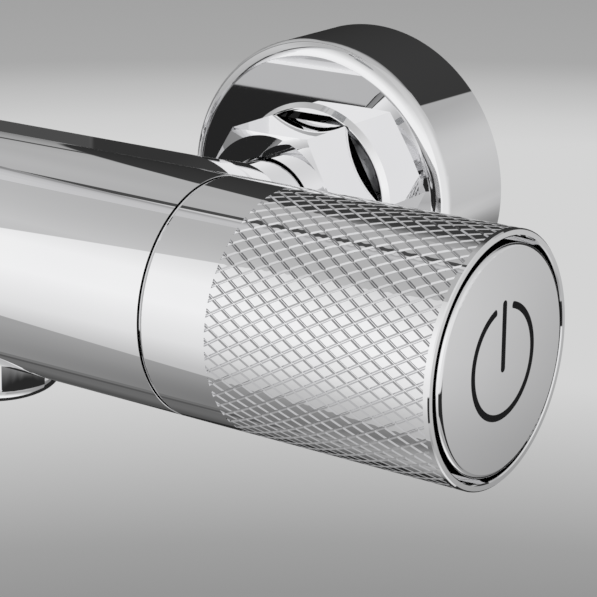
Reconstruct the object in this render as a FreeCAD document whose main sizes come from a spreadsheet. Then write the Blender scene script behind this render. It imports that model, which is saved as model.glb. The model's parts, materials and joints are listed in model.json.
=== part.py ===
"""Thermostatic shower column: a two-handle bar mixer on wall unions, with riser, hand shower and head shower.

Millimetres. The origin lies on the wall, midway between the two water inlets.
+X points to the right of a person facing the wall, +Y into the wall, +Z up.
"""
import FreeCAD
import Part
import Sketcher
import math
import os
import re

doc = FreeCAD.newDocument("shower_column")

# Driving dimensions: name, value, meaning
SIZES = [
    ("inlet_spacing", 150.0, "distance between the two water inlets"),
    ("axis_depth", 84.5, "wall to the axis of the bar"),
    ("bar_radius", 20.5, "bar, collars and grips"),
    ("seam_reach", 100.0, "middle of the bar to the seam of a handle"),
    ("seam_gap", 0.8, "width of the seam groove"),
    ("edge_break", 0.3, "broken edges on both sides of the seam"),
    ("spine_half", 15.5, "half height of the water channel behind the bar"),
    ("spine_depth", 25.6, "bar axis to the back of the channel"),
    ("boss_depth", 40.0, "bar axis to the tip of an inlet boss"),
    ("boss_tip_radius", 11.2, "inlet boss at its tip"),
    ("inlet_bore", 6.5, "water way of an inlet, radius"),
    ("cartridge_bore", 15.0, "bore for a cartridge, radius"),
    ("cartridge_depth", 58.0, "depth of a cartridge bore"),
    ("channel_radius", 8.0, "water way between the cartridges"),
    ("fit_gap", 0.05, "radial play of a running or sliding fit"),
    ("loose_gap", 0.3, "play where two pieces only pass each other"),
    ("outlet_reach", 48.5, "middle of the bar to the hose outlet"),
    ("outlet_radius", 12.0, "hose outlet boss"),
    ("outlet_drop", 26.5, "bar axis to the lower face of the hose outlet"),
    ("outlet_round", 3.0, "rounded lower edge of the hose outlet"),
    ("socket_radius", 9.32, "half inch internal thread at its crests"),
    ("socket_depth", 10.0, "depth of the hose outlet thread"),
    ("outlet_bore", 5.5, "water way of the hose outlet, radius"),
    ("tail_spigot", 8.0, "inlet tail inside its boss"),
    ("tail_spigot_radius", 9.0, "inlet tail thread in its boss"),
    ("tail_radius", 9.9, "inlet tail where it shows"),
    ("flange_radius", 12.3, "flange that the union nut pulls on"),
    ("flange_thick", 2.0, "thickness of that flange"),
    ("nut_start", 48.3, "bar axis to the front of a union nut"),
    ("nut_length", 13.6, "length of a union nut"),
    ("nut_flats", 30.0, "width of a union nut across its flats"),
    ("nut_hole", 11.0, "hole in the front of a union nut, radius"),
    ("nut_face", 14.6, "flat ring on the front of a union nut, radius"),
    ("nut_fall", 0.22, "fall of the corners around that ring, for each millimetre of radius"),
    ("nut_wall", 4.0, "front wall of a union nut"),
    ("thread_radius", 13.2, "three quarter inch thread of a union"),
    ("thread_play", 0.1, "play between a thread and its nut"),
    ("washer_thick", 1.5, "sealing washer of an inlet"),
    ("union_neck", 11.5, "union behind its front thread"),
    ("union_thread", 10.3, "length of a union's front thread"),
    ("stud_radius", 10.48, "half inch thread into the wall"),
    ("stud_length", 16.0, "length of that thread"),
    ("rosette_radius", 30.4, "round cover on the wall"),
    ("rosette_face", 63.2, "bar axis to the flat face of a cover"),
    ("rosette_wall", 1.4, "sheet of a cover"),
    ("rosette_round", 3.0, "rounded front edge of a cover"),
    ("rosette_hole", 17.1, "hole in a cover behind the union nut, radius"),
    ("lip_rise", 1.0, "raised lip around that hole"),
    ("lip_edge", 0.25, "flat edge of that lip"),
    ("lip_slope", 1.2, "width of that lip at its foot"),
    ("cover_seal", 4.0, "thickness of the seal behind a cover"),
    ("collar_length", 12.9, "smooth collar of a handle"),
    ("grip_length", 40.2, "knurled length of a handle"),
    ("rim_length", 1.0, "plain rim at the end of a handle"),
    ("grip_bore", 19.3, "bore of a grip sleeve, radius"),
    ("knurl_depth", 0.55, "depth of the knurling"),
    ("knurl_count", 32.0, "diamonds around a grip"),
    ("core_length", 46.0, "collar and hub of a handle together"),
    ("core_bore", 16.5, "hollow of a handle, radius"),
    ("web_thick", 6.5, "web between the hub and the sleeve"),
    ("hub_radius", 7.5, "hub of a handle"),
    ("hub_setback", 3.0, "seam end of a handle to its hub"),
    ("spindle_radius", 5.0, "spindle of a cartridge"),
    ("spindle_bore", 2.6, "bore of a spindle, radius"),
    ("spindle_inside", 22.0, "spindle inside its cartridge, from the seam"),
    ("spindle_end", 44.0, "spindle inside the handle, from the seam"),
    ("cap_radius", 18.45, "push button and end cap"),
    ("cap_thick", 4.0, "thickness of the push button"),
    ("cap_proud", 0.5, "push button in front of the rim"),
    ("cap_round", 0.8, "rounded edge of the push button"),
    ("cap_skirt", 1.6, "skirt of the end cap"),
    ("stem_radius", 2.5, "push rod of the button"),
    ("stem_inside", 18.0, "push rod past the seam"),
    ("spring_radius", 6.8, "button spring, outside"),
    ("spring_wall", 1.0, "button spring, wire"),
    ("cartridge_length", 50.0, "length of a cartridge"),
    ("cartridge_nut_length", 9.5, "nut that holds a cartridge"),
    ("cartridge_nut_bore", 6.5, "bore of that nut, radius"),
    ("pin_radius", 3.4, "safety button"),
    ("pin_proud", 0.7, "safety button above the collar"),
    ("pin_length", 6.7, "length of the safety button"),
    ("pin_flange", 4.4, "flange of the safety button"),
    ("pin_flange_thick", 1.2, "thickness of that flange"),
    ("pin_spring_radius", 2.4, "safety button spring"),
    ("riser_boss", 13.0, "riser boss on the bar"),
    ("riser_boss_top", 27.0, "bar axis to the top of the riser boss"),
    ("spigot_radius", 10.4, "riser thread on the bar"),
    ("spigot_top", 38.0, "bar axis to the top of that thread"),
    ("spigot_bore", 6.0, "water way to the riser, radius"),
    ("riser_nut_radius", 14.5, "nut at the foot of the riser"),
    ("riser_nut_length", 26.0, "length of that nut"),
    ("riser_nut_taper", 6.0, "tapered top of that nut"),
    ("seal_thick", 1.5, "seal under the riser"),
    ("riser_radius", 11.0, "lower riser tube"),
    ("tube_wall", 1.0, "wall of the tubes"),
    ("riser_top", 640.0, "bar axis to the top of the lower tube"),
    ("bush_length", 36.0, "guide bush in the lower tube"),
    ("lock_radius", 13.6, "lock nut of the telescope"),
    ("lock_length", 26.0, "length of that nut"),
    ("lock_cover", 14.0, "lock nut over the lower tube"),
    ("arm_radius", 9.0, "upper tube and arm"),
    ("arm_overlap", 120.0, "upper tube inside the lower tube"),
    ("arm_height", 1030.0, "bar axis to the axis of the arm"),
    ("arm_reach", 380.0, "riser to the head shower"),
    ("back_bend", 70.0, "bend above the riser, radius"),
    ("front_bend", 45.0, "bend above the head, radius"),
    ("arm_drop", 24.0, "straight end of the arm"),
    ("bracket_drop", 150.0, "axis of the arm to the wall bracket"),
    ("clamp_radius", 13.0, "ring of the wall bracket"),
    ("clamp_height", 22.0, "height of that ring"),
    ("post_radius", 7.5, "post of the wall bracket"),
    ("post_bore", 5.0, "hole for the base's spigot, radius"),
    ("flange_cover", 26.0, "cover of the wall bracket, radius"),
    ("flange_depth", 10.0, "depth of that cover"),
    ("base_radius", 20.0, "plate of the wall bracket"),
    ("base_thick", 5.0, "thickness of that plate"),
    ("base_spigot", 22.0, "spigot of that plate"),
    ("base_hole", 2.6, "screw hole, radius"),
    ("base_hole_spacing", 26.0, "distance between the two screw holes"),
    ("grub_radius", 2.0, "grub screw"),
    ("slider_height", 430.0, "bar axis to the slider"),
    ("slider_radius", 17.0, "slider sleeve"),
    ("slider_length", 46.0, "length of the slider sleeve"),
    ("slider_boss", 9.0, "boss for the lock screw, radius"),
    ("slider_boss_reach", 25.0, "riser axis to the end of that boss"),
    ("lock_screw", 4.0, "lock screw, radius"),
    ("lock_knob", 12.0, "knob of the lock screw, radius"),
    ("lock_knob_length", 15.0, "length of that knob"),
    ("pad_length", 3.0, "pressure pad"),
    ("lug_half", 8.0, "half width of the slider's lug"),
    ("lug_radius", 9.0, "rounded end of the lug"),
    ("pivot_reach", 31.0, "riser axis to the cradle pivot"),
    ("pivot_radius", 4.0, "cradle pin"),
    ("pivot_head", 6.0, "head of the cradle pin"),
    ("pivot_head_thick", 2.5, "thickness of a pin head"),
    ("ear_gap", 0.3, "play between lug and ears"),
    ("ear_thick", 4.7, "cradle ear"),
    ("ear_half", 9.0, "half height of a cradle ear"),
    ("ear_back", 7.0, "cradle ear behind the pivot"),
    ("cup_reach", 29.0, "pivot to the cradle axis"),
    ("cup_half", 18.0, "half height of the cradle"),
    ("cup_low", 15.2, "cradle at its lower end, radius"),
    ("cup_high", 17.2, "cradle at its upper end, radius"),
    ("cup_bore_low", 11.4, "cradle bore at its lower end, radius"),
    ("cup_bore_high", 13.4, "cradle bore at its upper end, radius"),
    ("cup_slot", 16.0, "front slot of the cradle"),
    ("cradle_tilt", 22.0, "lean of the cradle, degrees"),
    ("hose_thread", 10.3, "thread at the foot of the hand shower"),
    ("hose_thread_length", 12.0, "length of that thread"),
    ("handle_foot", 32.0, "cradle centre to the foot of the handle"),
    ("handle_neck", 150.0, "cradle centre to the neck of the handle"),
    ("handle_waist", 11.2, "handle at its slimmest, radius"),
    ("handle_bore", 6.0, "water way of the handle, radius"),
    ("spray_radius", 54.0, "hand shower disc"),
    ("spray_depth", 17.0, "depth of the hand shower disc"),
    ("spray_height", 196.0, "cradle centre to the middle of the disc"),
    ("spray_turn", 12.0, "disc leans against the handle, degrees"),
    ("spray_wall", 2.0, "wall of the hand shower disc"),
    ("spray_plate", 3.0, "spray plate of the hand shower"),
    ("ball_radius", 10.0, "ball of the head joint"),
    ("ball_drop", 45.0, "top of the ball stud to the ball"),
    ("ball_neck", 6.5, "neck above the ball, radius"),
    ("ball_bore", 3.5, "water way of the ball, radius"),
    ("stud_sleeve", 11.6, "sleeve of the ball stud"),
    ("stud_cover", 20.0, "ball stud over the arm's end"),
    ("head_nut_radius", 16.0, "nut that holds the ball"),
    ("head_nut_rise", 5.0, "ball centre to the top of that nut"),
    ("head_nut_length", 20.0, "length of that nut"),
    ("head_lip", 1.8, "lip that holds the ball"),
    ("head_radius", 115.0, "head shower"),
    ("head_rim", 6.0, "rim of the head shower"),
    ("head_dome", 14.0, "head shower from its nut to its rim"),
    ("head_wall", 2.0, "wall of the head shower"),
    ("head_plate", 3.0, "spray plate of the head shower"),
    ("head_seal", 1.0, "seal of the head shower"),
]

sheet = doc.addObject("Spreadsheet::Sheet", "sizes")
for row, (alias, number, meaning) in enumerate(SIZES, start=1):
    sheet.set("A%d" % row, alias)
    sheet.set("B%d" % row, str(number))
    sheet.set("C%d" % row, meaning)
    sheet.setAlias("B%d" % row, alias)
doc.recompute()

ALIASES = {alias for alias, number, meaning in SIZES}
PIECES = []

# Directions in which a piece's own axis can point
UP = FreeCAD.Rotation()
DOWN = FreeCAD.Rotation(FreeCAD.Vector(1, 0, 0), 180)
RIGHT = FreeCAD.Rotation(FreeCAD.Vector(0, 1, 0), 90)
LEFT = FreeCAD.Rotation(FreeCAD.Vector(0, 1, 0), -90)
BACK = FreeCAD.Rotation(FreeCAD.Vector(1, 0, 0), -90)
FRONT = FreeCAD.Rotation(FreeCAD.Vector(1, 0, 0), 90)


def size(alias):
    """Value of one driving dimension."""
    return float(sheet.get(alias))


def formula(text):
    """Expression text in which each driving dimension is read from the sheet."""
    def cell(match):
        word = match.group(0)
        return "sizes." + word if word in ALIASES else word
    return re.sub(r"[a-z][a-z_]*", cell, text)


def bind(item, **texts):
    """Tie properties of an object to expressions of the driving dimensions."""
    for name, text in texts.items():
        item.setExpression(name, formula(text))


def place(item, turn, base):
    """Turn a piece and put its own origin at base, three expressions."""
    item.Placement = FreeCAD.Placement(FreeCAD.Vector(), turn)
    for name, text in zip("xyz", base):
        if text != "0":
            item.setExpression("Placement.Base." + name, formula(text))


def keep(item, label):
    """Name a finished piece and list it for writing."""
    item.Label = label
    PIECES.append(item)
    return item


def cylinder(name, radius, height, turn, base):
    """Round bar along its own axis from base."""
    item = doc.addObject("Part::Cylinder", name)
    bind(item, Radius=radius, Height=height)
    place(item, turn, base)
    return item


def cone(name, start, end, height, turn, base):
    """Tapered bar along its own axis from base."""
    item = doc.addObject("Part::Cone", name)
    bind(item, Radius1=start, Radius2=end, Height=height)
    place(item, turn, base)
    return item


def block(name, length, width, height, base):
    """Box from its lowest corner."""
    item = doc.addObject("Part::Box", name)
    bind(item, Length=length, Width=width, Height=height)
    place(item, UP, base)
    return item


def fuse(name, shapes):
    """One solid out of several that touch."""
    item = doc.addObject("Part::MultiFuse", name)
    item.Shapes = shapes
    item.Refine = True
    return item


def cut(name, base, tools):
    """Base without the tools."""
    item = doc.addObject("Part::Cut", name)
    item.Base = base
    item.Tool = tools[0] if len(tools) == 1 else fuse(name + "_tools", tools)
    return item


def origin_feature(body, role):
    """Origin plane or axis of a body."""
    return next(item for item in body.Origin.OriginFeatures if item.Role == role)


def turned(name, outline, turn, base):
    """Turned piece: outline is its half section, (radius, height) expressions in order around it."""
    body = doc.addObject("PartDesign::Body", name)
    sketch = body.newObject("Sketcher::SketchObject", name + "_section")
    sketch.AttachmentSupport = [(origin_feature(body, "XZ_Plane"), "")]
    sketch.MapMode = "FlatFace"
    count = len(outline)
    angles = [2 * math.pi * i / count for i in range(count)]
    corners = [FreeCAD.Vector(10 + 3 * math.cos(angle), 10 + 3 * math.sin(angle)) for angle in angles]
    for i in range(count):
        sketch.addGeometry(Part.LineSegment(corners[i], corners[(i + 1) % count]))
    for i in range(count):
        sketch.addConstraint(Sketcher.Constraint("Coincident", i, 2, (i + 1) % count, 1))
    for i, (radius, height) in enumerate(outline):
        for kind, text, axis in (("DistanceX", radius, -2), ("DistanceY", height, -1)):
            if text == "0":
                sketch.addConstraint(Sketcher.Constraint("PointOnObject", i, 1, axis))
                continue
            index = sketch.addConstraint(Sketcher.Constraint(kind, -1, 1, i, 1, 10.0))
            sketch.setExpression("Constraints[%d]" % index, formula(text))
    spin = body.newObject("PartDesign::Revolution", name + "_turn")
    spin.Profile = sketch
    spin.ReferenceAxis = (sketch, ["V_Axis"])
    spin.Angle = 360
    place(body, turn, base)
    return body


def rounded(body, radius, chosen):
    """Fillet on the circular edges of a turned body that chosen(radius, height) picks."""
    doc.recompute()
    base = body.Tip
    names = []
    for number, edge in enumerate(base.Shape.Edges, start=1):
        if isinstance(edge.Curve, Part.Circle) and chosen(edge.Curve.Radius, edge.Curve.Center.z):
            names.append("Edge%d" % number)
    fillet = body.newObject("PartDesign::Fillet", body.Name + "_round")
    fillet.Base = (base, names)
    bind(fillet, Radius=radius)
    return body


def near(a, b):
    """Two lengths that are the same."""
    return abs(a - b) < 1e-4


BAR_Y = "-axis_depth"
BODY_END = "(seam_reach - seam_gap / 2)"
SEAM = "(seam_reach + seam_gap / 2)"
KNOB_END = "(collar_length + grip_length + rim_length)"
CAP_BACK = "(collar_length + grip_length + rim_length + cap_proud - cap_thick)"
HEAD_Y = "-axis_depth - arm_reach"
BALL_Z = "(arm_height - front_bend - arm_drop + stud_cover - ball_drop)"
LEAN = FreeCAD.Rotation(FreeCAD.Vector(1, 0, 0), size("cradle_tilt"))
SPRAY_LEAN = FreeCAD.Rotation(FreeCAD.Vector(1, 0, 0), 90 + size("spray_turn"))


# The cast body of the bar, with its rear water channel, inlet bosses, riser boss and hose outlet
def mixer_body():
    solids = [
        cylinder("bar", "bar_radius", "2 * (%s - edge_break)" % BODY_END, RIGHT,
                 ("-(%s - edge_break)" % BODY_END, BAR_Y, "0")),
        block("spine", "inlet_spacing", "spine_depth", "2 * spine_half",
              ("-inlet_spacing / 2", BAR_Y, "-spine_half")),
        cylinder("riser_boss_solid", "riser_boss", "riser_boss_top", UP, ("0", BAR_Y, "0")),
        cylinder("riser_spigot", "spigot_radius", "spigot_top", UP, ("0", BAR_Y, "0")),
    ]
    drop = "outlet_drop - outlet_round"
    core = "outlet_radius - outlet_round"
    solids.append(cylinder("outlet_wall", "outlet_radius", drop, DOWN, ("outlet_reach", BAR_Y, "0")))
    solids.append(cylinder("outlet_floor", core, "outlet_drop", DOWN, ("outlet_reach", BAR_Y, "0")))
    edge = doc.addObject("Part::Torus", "outlet_edge")
    bind(edge, Radius1=core, Radius2="outlet_round")
    place(edge, UP, ("outlet_reach", BAR_Y, "-(%s)" % drop))
    solids.append(edge)
    bores = [
        cylinder("channel", "channel_radius", "2 * " + BODY_END, RIGHT, ("-" + BODY_END, BAR_Y, "0")),
        cylinder("riser_way", "spigot_bore", "spigot_top", UP, ("0", BAR_Y, "0")),
        cylinder("outlet_way", "outlet_bore", "outlet_drop", DOWN, ("outlet_reach", BAR_Y, "0")),
        cylinder("outlet_socket", "socket_radius", "socket_depth", UP,
                 ("outlet_reach", BAR_Y, "-outlet_drop")),
    ]
    for side, sign, turn in (("hot", "-", LEFT), ("cold", "", RIGHT)):
        inlet_x = sign + "inlet_spacing / 2"
        tip_y = BAR_Y + " + spine_depth"
        solids.append(cone(side + "_bar_edge", "bar_radius", "bar_radius - edge_break", "edge_break", turn,
                           (sign + "(%s - edge_break)" % BODY_END, BAR_Y, "0")))
        solids.append(cylinder(side + "_spine_end", "spine_half", "spine_depth", BACK,
                               (inlet_x, BAR_Y, "0")))
        solids.append(cone(side + "_boss", "spine_half", "boss_tip_radius", "boss_depth - spine_depth", BACK,
                           (inlet_x, tip_y, "0")))
        bores.append(cylinder(side + "_way", "inlet_bore", "boss_depth", BACK, (inlet_x, BAR_Y, "0")))
        bores.append(cylinder(side + "_tail_seat", "tail_spigot_radius", "tail_spigot", BACK,
                              (inlet_x, BAR_Y + " + boss_depth - tail_spigot", "0")))
        bores.append(cylinder(side + "_cartridge_seat", "cartridge_bore", "cartridge_depth", turn,
                              (sign + "(%s - cartridge_depth)" % BODY_END, BAR_Y, "0")))
    keep(cut("mixer_body_cut", fuse("mixer_body_solid", solids), bores), "mixer_body")


# One water inlet: tail, check valve, union nut, washer, union, wall cover and its seal
def inlet(side, sign):
    inlet_x = sign + "inlet_spacing / 2"
    flange_start = "(nut_start + nut_wall + loose_gap)"
    washer_start = flange_start + " + flange_thick"
    union_start = washer_start + " + washer_thick"

    def behind(distance):
        return inlet_x, BAR_Y + " + " + distance, "0"

    foot = "boss_depth - tail_spigot"
    neck = "(%s - boss_depth + tail_spigot)" % flange_start
    tail_end = neck + " + flange_thick"
    keep(turned(side + "_tail", [
        ("inlet_bore", "0"), ("tail_spigot_radius - fit_gap", "0"),
        ("tail_spigot_radius - fit_gap", "tail_spigot"),
        ("tail_radius", "tail_spigot"), ("tail_radius", neck), ("flange_radius", neck),
        ("flange_radius", tail_end), ("inlet_bore", tail_end),
    ], BACK, behind(foot)), side + "_inlet_tail")
    keep(turned(side + "_valve", [
        ("inlet_bore - 3 * fit_gap - 2.4", "0"), ("inlet_bore - fit_gap", "0"),
        ("inlet_bore - fit_gap", "11"), ("inlet_bore - 3 * fit_gap - 2.4", "11"),
    ], BACK, behind(washer_start + " - 11")), side + "_check_valve")

    corner = "nut_flats / sqrt(3)"
    inside = "thread_radius + thread_play"
    hexagon = doc.addObject("Part::Prism", side + "_nut_hexagon")
    hexagon.Polygon = 6
    bind(hexagon, Circumradius=corner, Height="nut_length")
    place(hexagon, BACK, behind("nut_start"))
    clear = "(%s + 1)" % corner
    fall = "(%s - nut_face) * nut_fall" % clear
    bevel = turned(side + "_nut_bevel", [
        ("nut_face", "-1"), (clear, "-1"), (clear, fall), ("nut_face", "0"),
    ], BACK, behind("nut_start"))
    hollow = turned(side + "_nut_hollow", [
        ("0", "0"), ("nut_hole", "0"), ("nut_hole", "nut_wall"), (inside, "nut_wall"),
        (inside, "nut_length"), ("0", "nut_length"),
    ], BACK, behind("nut_start"))
    keep(cut(side + "_nut", hexagon, [bevel, hollow]), side + "_union_nut")

    keep(turned(side + "_washer", [
        ("inlet_bore + 0.5", "0"), ("flange_radius", "0"), ("flange_radius", "washer_thick"),
        ("inlet_bore + 0.5", "washer_thick"),
    ], BACK, behind(washer_start)), side + "_sealing_washer")

    wall = "(axis_depth - (%s))" % union_start
    keep(turned(side + "_union", [
        ("inlet_bore + 1", "0"), ("thread_radius", "0"), ("thread_radius", "union_thread"),
        ("union_neck", "union_thread"), ("union_neck", wall), ("stud_radius", wall),
        ("stud_radius", wall + " + stud_length"), ("inlet_bore + 1", wall + " + stud_length"),
    ], BACK, behind(union_start)), side + "_wall_union")

    depth = "(axis_depth - rosette_face)"
    cover = turned(side + "_cover", [
        ("rosette_hole", "-lip_rise"), ("rosette_hole + lip_edge", "-lip_rise"),
        ("rosette_hole + lip_slope", "0"), ("rosette_radius", "0"), ("rosette_radius", depth),
        ("rosette_radius - rosette_wall", depth), ("rosette_radius - rosette_wall", "rosette_round"),
        ("rosette_radius - rosette_round", "rosette_wall"), ("rosette_hole", "rosette_wall"),
    ], BACK, behind("rosette_face"))
    edge = size("rosette_radius")
    keep(rounded(cover, "rosette_round", lambda r, z: near(r, edge) and near(z, 0)), side + "_rosette")
    rim = "rosette_radius - rosette_wall - fit_gap"
    keep(turned(side + "_cover_seal", [
        ("union_neck + fit_gap", "0"), (rim, "0"), (rim, "cover_seal"), ("union_neck + fit_gap", "cover_seal"),
    ], BACK, behind("axis_depth - cover_seal")), side + "_cover_seal")


# Knurled sleeve: rows of raised diamonds between crossed grooves, and a plain rim at its end
def knurled_sleeve(name):
    count = int(size("knurl_count"))
    length = size("grip_length")
    crest = size("bar_radius") - size("fit_gap")
    valley = crest - size("knurl_depth")
    rows = max(2, round(length * count / (math.pi * size("bar_radius"))))

    def point(i, j):
        """Groove crossings and diamond tops alternate like the fields of a chessboard."""
        radius = valley if (i + j) % 2 == 0 else crest
        angle = math.pi * (i % (2 * count)) / count
        return FreeCAD.Vector(radius * math.cos(angle), radius * math.sin(angle), length * j / rows)

    def triangle(a, b, c):
        return Part.Face(Part.makePolygon([a, b, c, a]))

    faces = []
    for j in range(rows + 1):
        for i in range((j + 1) % 2, 2 * count, 2):
            top = point(i, j)
            ring = []
            if j > 0:
                ring.append((point(i - 1, j), point(i, j - 1)))
                ring.append((point(i, j - 1), point(i + 1, j)))
            if j < rows:
                ring.append((point(i + 1, j), point(i, j + 1)))
                ring.append((point(i, j + 1), point(i - 1, j)))
            faces += [triangle(top, a, b) for a, b in ring]

    axis = FreeCAD.Vector(0, 0, 1)
    bore = size("grip_bore")
    outer = size("bar_radius")
    end = length + size("rim_length")

    def circle(radius, height):
        return Part.Wire(Part.makeCircle(radius, axis * height, axis))

    def star(j):
        return Part.makePolygon([point(i, j) for i in range(2 * count + 1)])

    def tube(radius, start, stop):
        return Part.makeCylinder(radius, stop - start, axis * start, axis).Faces[0]

    def ring_face(outside, inside):
        return Part.makeFace([outside, inside], "Part::FaceMakerBullseye")

    faces.append(ring_face(star(0), circle(bore, 0)))
    faces.append(ring_face(circle(outer, length), star(rows)))
    faces.append(tube(outer, length, end))
    faces.append(ring_face(circle(outer, end), circle(bore, end)))
    faces.append(tube(bore, 0, end))
    shell = Part.makeShell(faces)
    shell.sewShape()
    solid = Part.makeSolid(shell)
    if solid.Volume < 0:
        solid.reverse()
    item = doc.addObject("Part::Feature", name)
    item.Shape = solid
    return item


# Handle, cartridge and spindle at one end of the bar
def handle(kind, sign, turn):
    def along(distance):
        return sign + "(%s)" % distance, BAR_Y, "0"

    hub_bore = "spindle_radius + fit_gap"
    seat = "grip_bore - fit_gap"
    core = turned(kind + "_core", [
        (hub_bore, "hub_setback"), ("hub_radius", "hub_setback"), ("hub_radius", "core_length - web_thick"),
        ("core_bore", "core_length - web_thick"), ("core_bore", "0"),
        ("bar_radius - edge_break", "0"), ("bar_radius", "edge_break"), ("bar_radius", "collar_length"),
        (seat, "collar_length"), (seat, "core_length"), (hub_bore, "core_length"),
    ], turn, along(SEAM))
    if kind == "temperature":
        hole = cylinder("pin_hole", "pin_radius + fit_gap", "bar_radius", FRONT,
                        (sign + "(%s + collar_length / 2)" % SEAM, BAR_Y + " - hub_radius - 1", "0"))
        core = cut("temperature_core_cut", core, [hole])
    keep(core, kind + "_knob_core")

    grip = knurled_sleeve(kind + "_grip")
    place(grip, turn, along(SEAM + " + collar_length"))
    keep(grip, kind + "_knob_grip")

    reach = "spindle_inside + spindle_end"
    keep(turned(kind + "_rod", [
        ("spindle_bore", "0"), ("spindle_radius", "0"), ("spindle_radius", reach), ("spindle_bore", reach),
    ], turn, along(SEAM + " - spindle_inside")), kind + "_spindle")

    outside = "cartridge_bore - fit_gap"
    keep(turned(kind + "_valve", [
        (hub_bore, "0"), ("channel_radius", "0"), (outside, "4"), (outside, "cartridge_length"),
        (hub_bore, "cartridge_length"),
    ], turn, along(BODY_END + " - cartridge_depth")), kind + "_cartridge")
    keep(turned(kind + "_nut", [
        ("cartridge_nut_bore", "0"), (outside, "0"), (outside, "cartridge_nut_length"),
        ("cartridge_nut_bore", "cartridge_nut_length"),
    ], turn, along(BODY_END + " - cartridge_depth + cartridge_length")), kind + "_cartridge_nut")


# Push button of the flow handle, with its rod and spring
def push_button():
    back = "(stem_inside + %s)" % CAP_BACK
    front = back + " + cap_thick"
    button = turned("button", [
        ("0", "0"), ("stem_radius", "0"), ("stem_radius", back), ("cap_radius", back),
        ("cap_radius", front),
        ("0", front),
    ], RIGHT, (SEAM + " - stem_inside", BAR_Y, "0"))
    edge = size("cap_radius")
    handle_end = size("collar_length") + size("grip_length") + size("rim_length")
    face = size("stem_inside") + handle_end + size("cap_proud")
    keep(rounded(button, "cap_round", lambda r, z: near(r, edge) and near(z, face)), "start_stop_button")
    room = CAP_BACK + " - core_length"
    keep(turned("spring", [
        ("spring_radius - spring_wall", "0"), ("spring_radius", "0"), ("spring_radius", room),
        ("spring_radius - spring_wall", room),
    ], RIGHT, (SEAM + " + core_length", BAR_Y, "0")), "button_spring")


# End cap and safety button of the temperature handle
def temperature_trim():
    skirt = "(%s - core_length)" % CAP_BACK
    inner = "cap_radius - cap_skirt"
    cap = turned("cap", [
        (inner, "0"), ("cap_radius", "0"), ("cap_radius", skirt + " + cap_thick"),
        ("0", skirt + " + cap_thick"),
        ("0", skirt), (inner, skirt),
    ], LEFT, ("-(%s + core_length)" % SEAM, BAR_Y, "0"))
    edge = size("cap_radius")
    handle_end = size("collar_length") + size("grip_length") + size("rim_length")
    face = handle_end + size("cap_proud") - size("core_length")
    keep(rounded(cap, "cap_round", lambda r, z: near(r, edge) and near(z, face)), "temperature_end_cap")

    pin_x = "-(%s + collar_length / 2)" % SEAM
    inner_end = "(bar_radius + pin_proud - pin_length)"
    keep(turned("pin", [
        ("0", "0"), ("pin_flange", "0"), ("pin_flange", "pin_flange_thick"),
        ("pin_radius", "pin_flange_thick"),
        ("pin_radius", "pin_length - 0.6"), ("pin_radius - 0.6", "pin_length"), ("0", "pin_length"),
    ], FRONT, (pin_x, BAR_Y + " - " + inner_end, "0")), "safety_button")
    room = inner_end + " - hub_radius - fit_gap"
    keep(turned("pin_spring", [
        ("pin_spring_radius - 0.6", "0"), ("pin_spring_radius", "0"), ("pin_spring_radius", room),
        ("pin_spring_radius - 0.6", room),
    ], FRONT, (pin_x, BAR_Y + " - hub_radius - fit_gap", "0")), "safety_button_spring")


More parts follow.
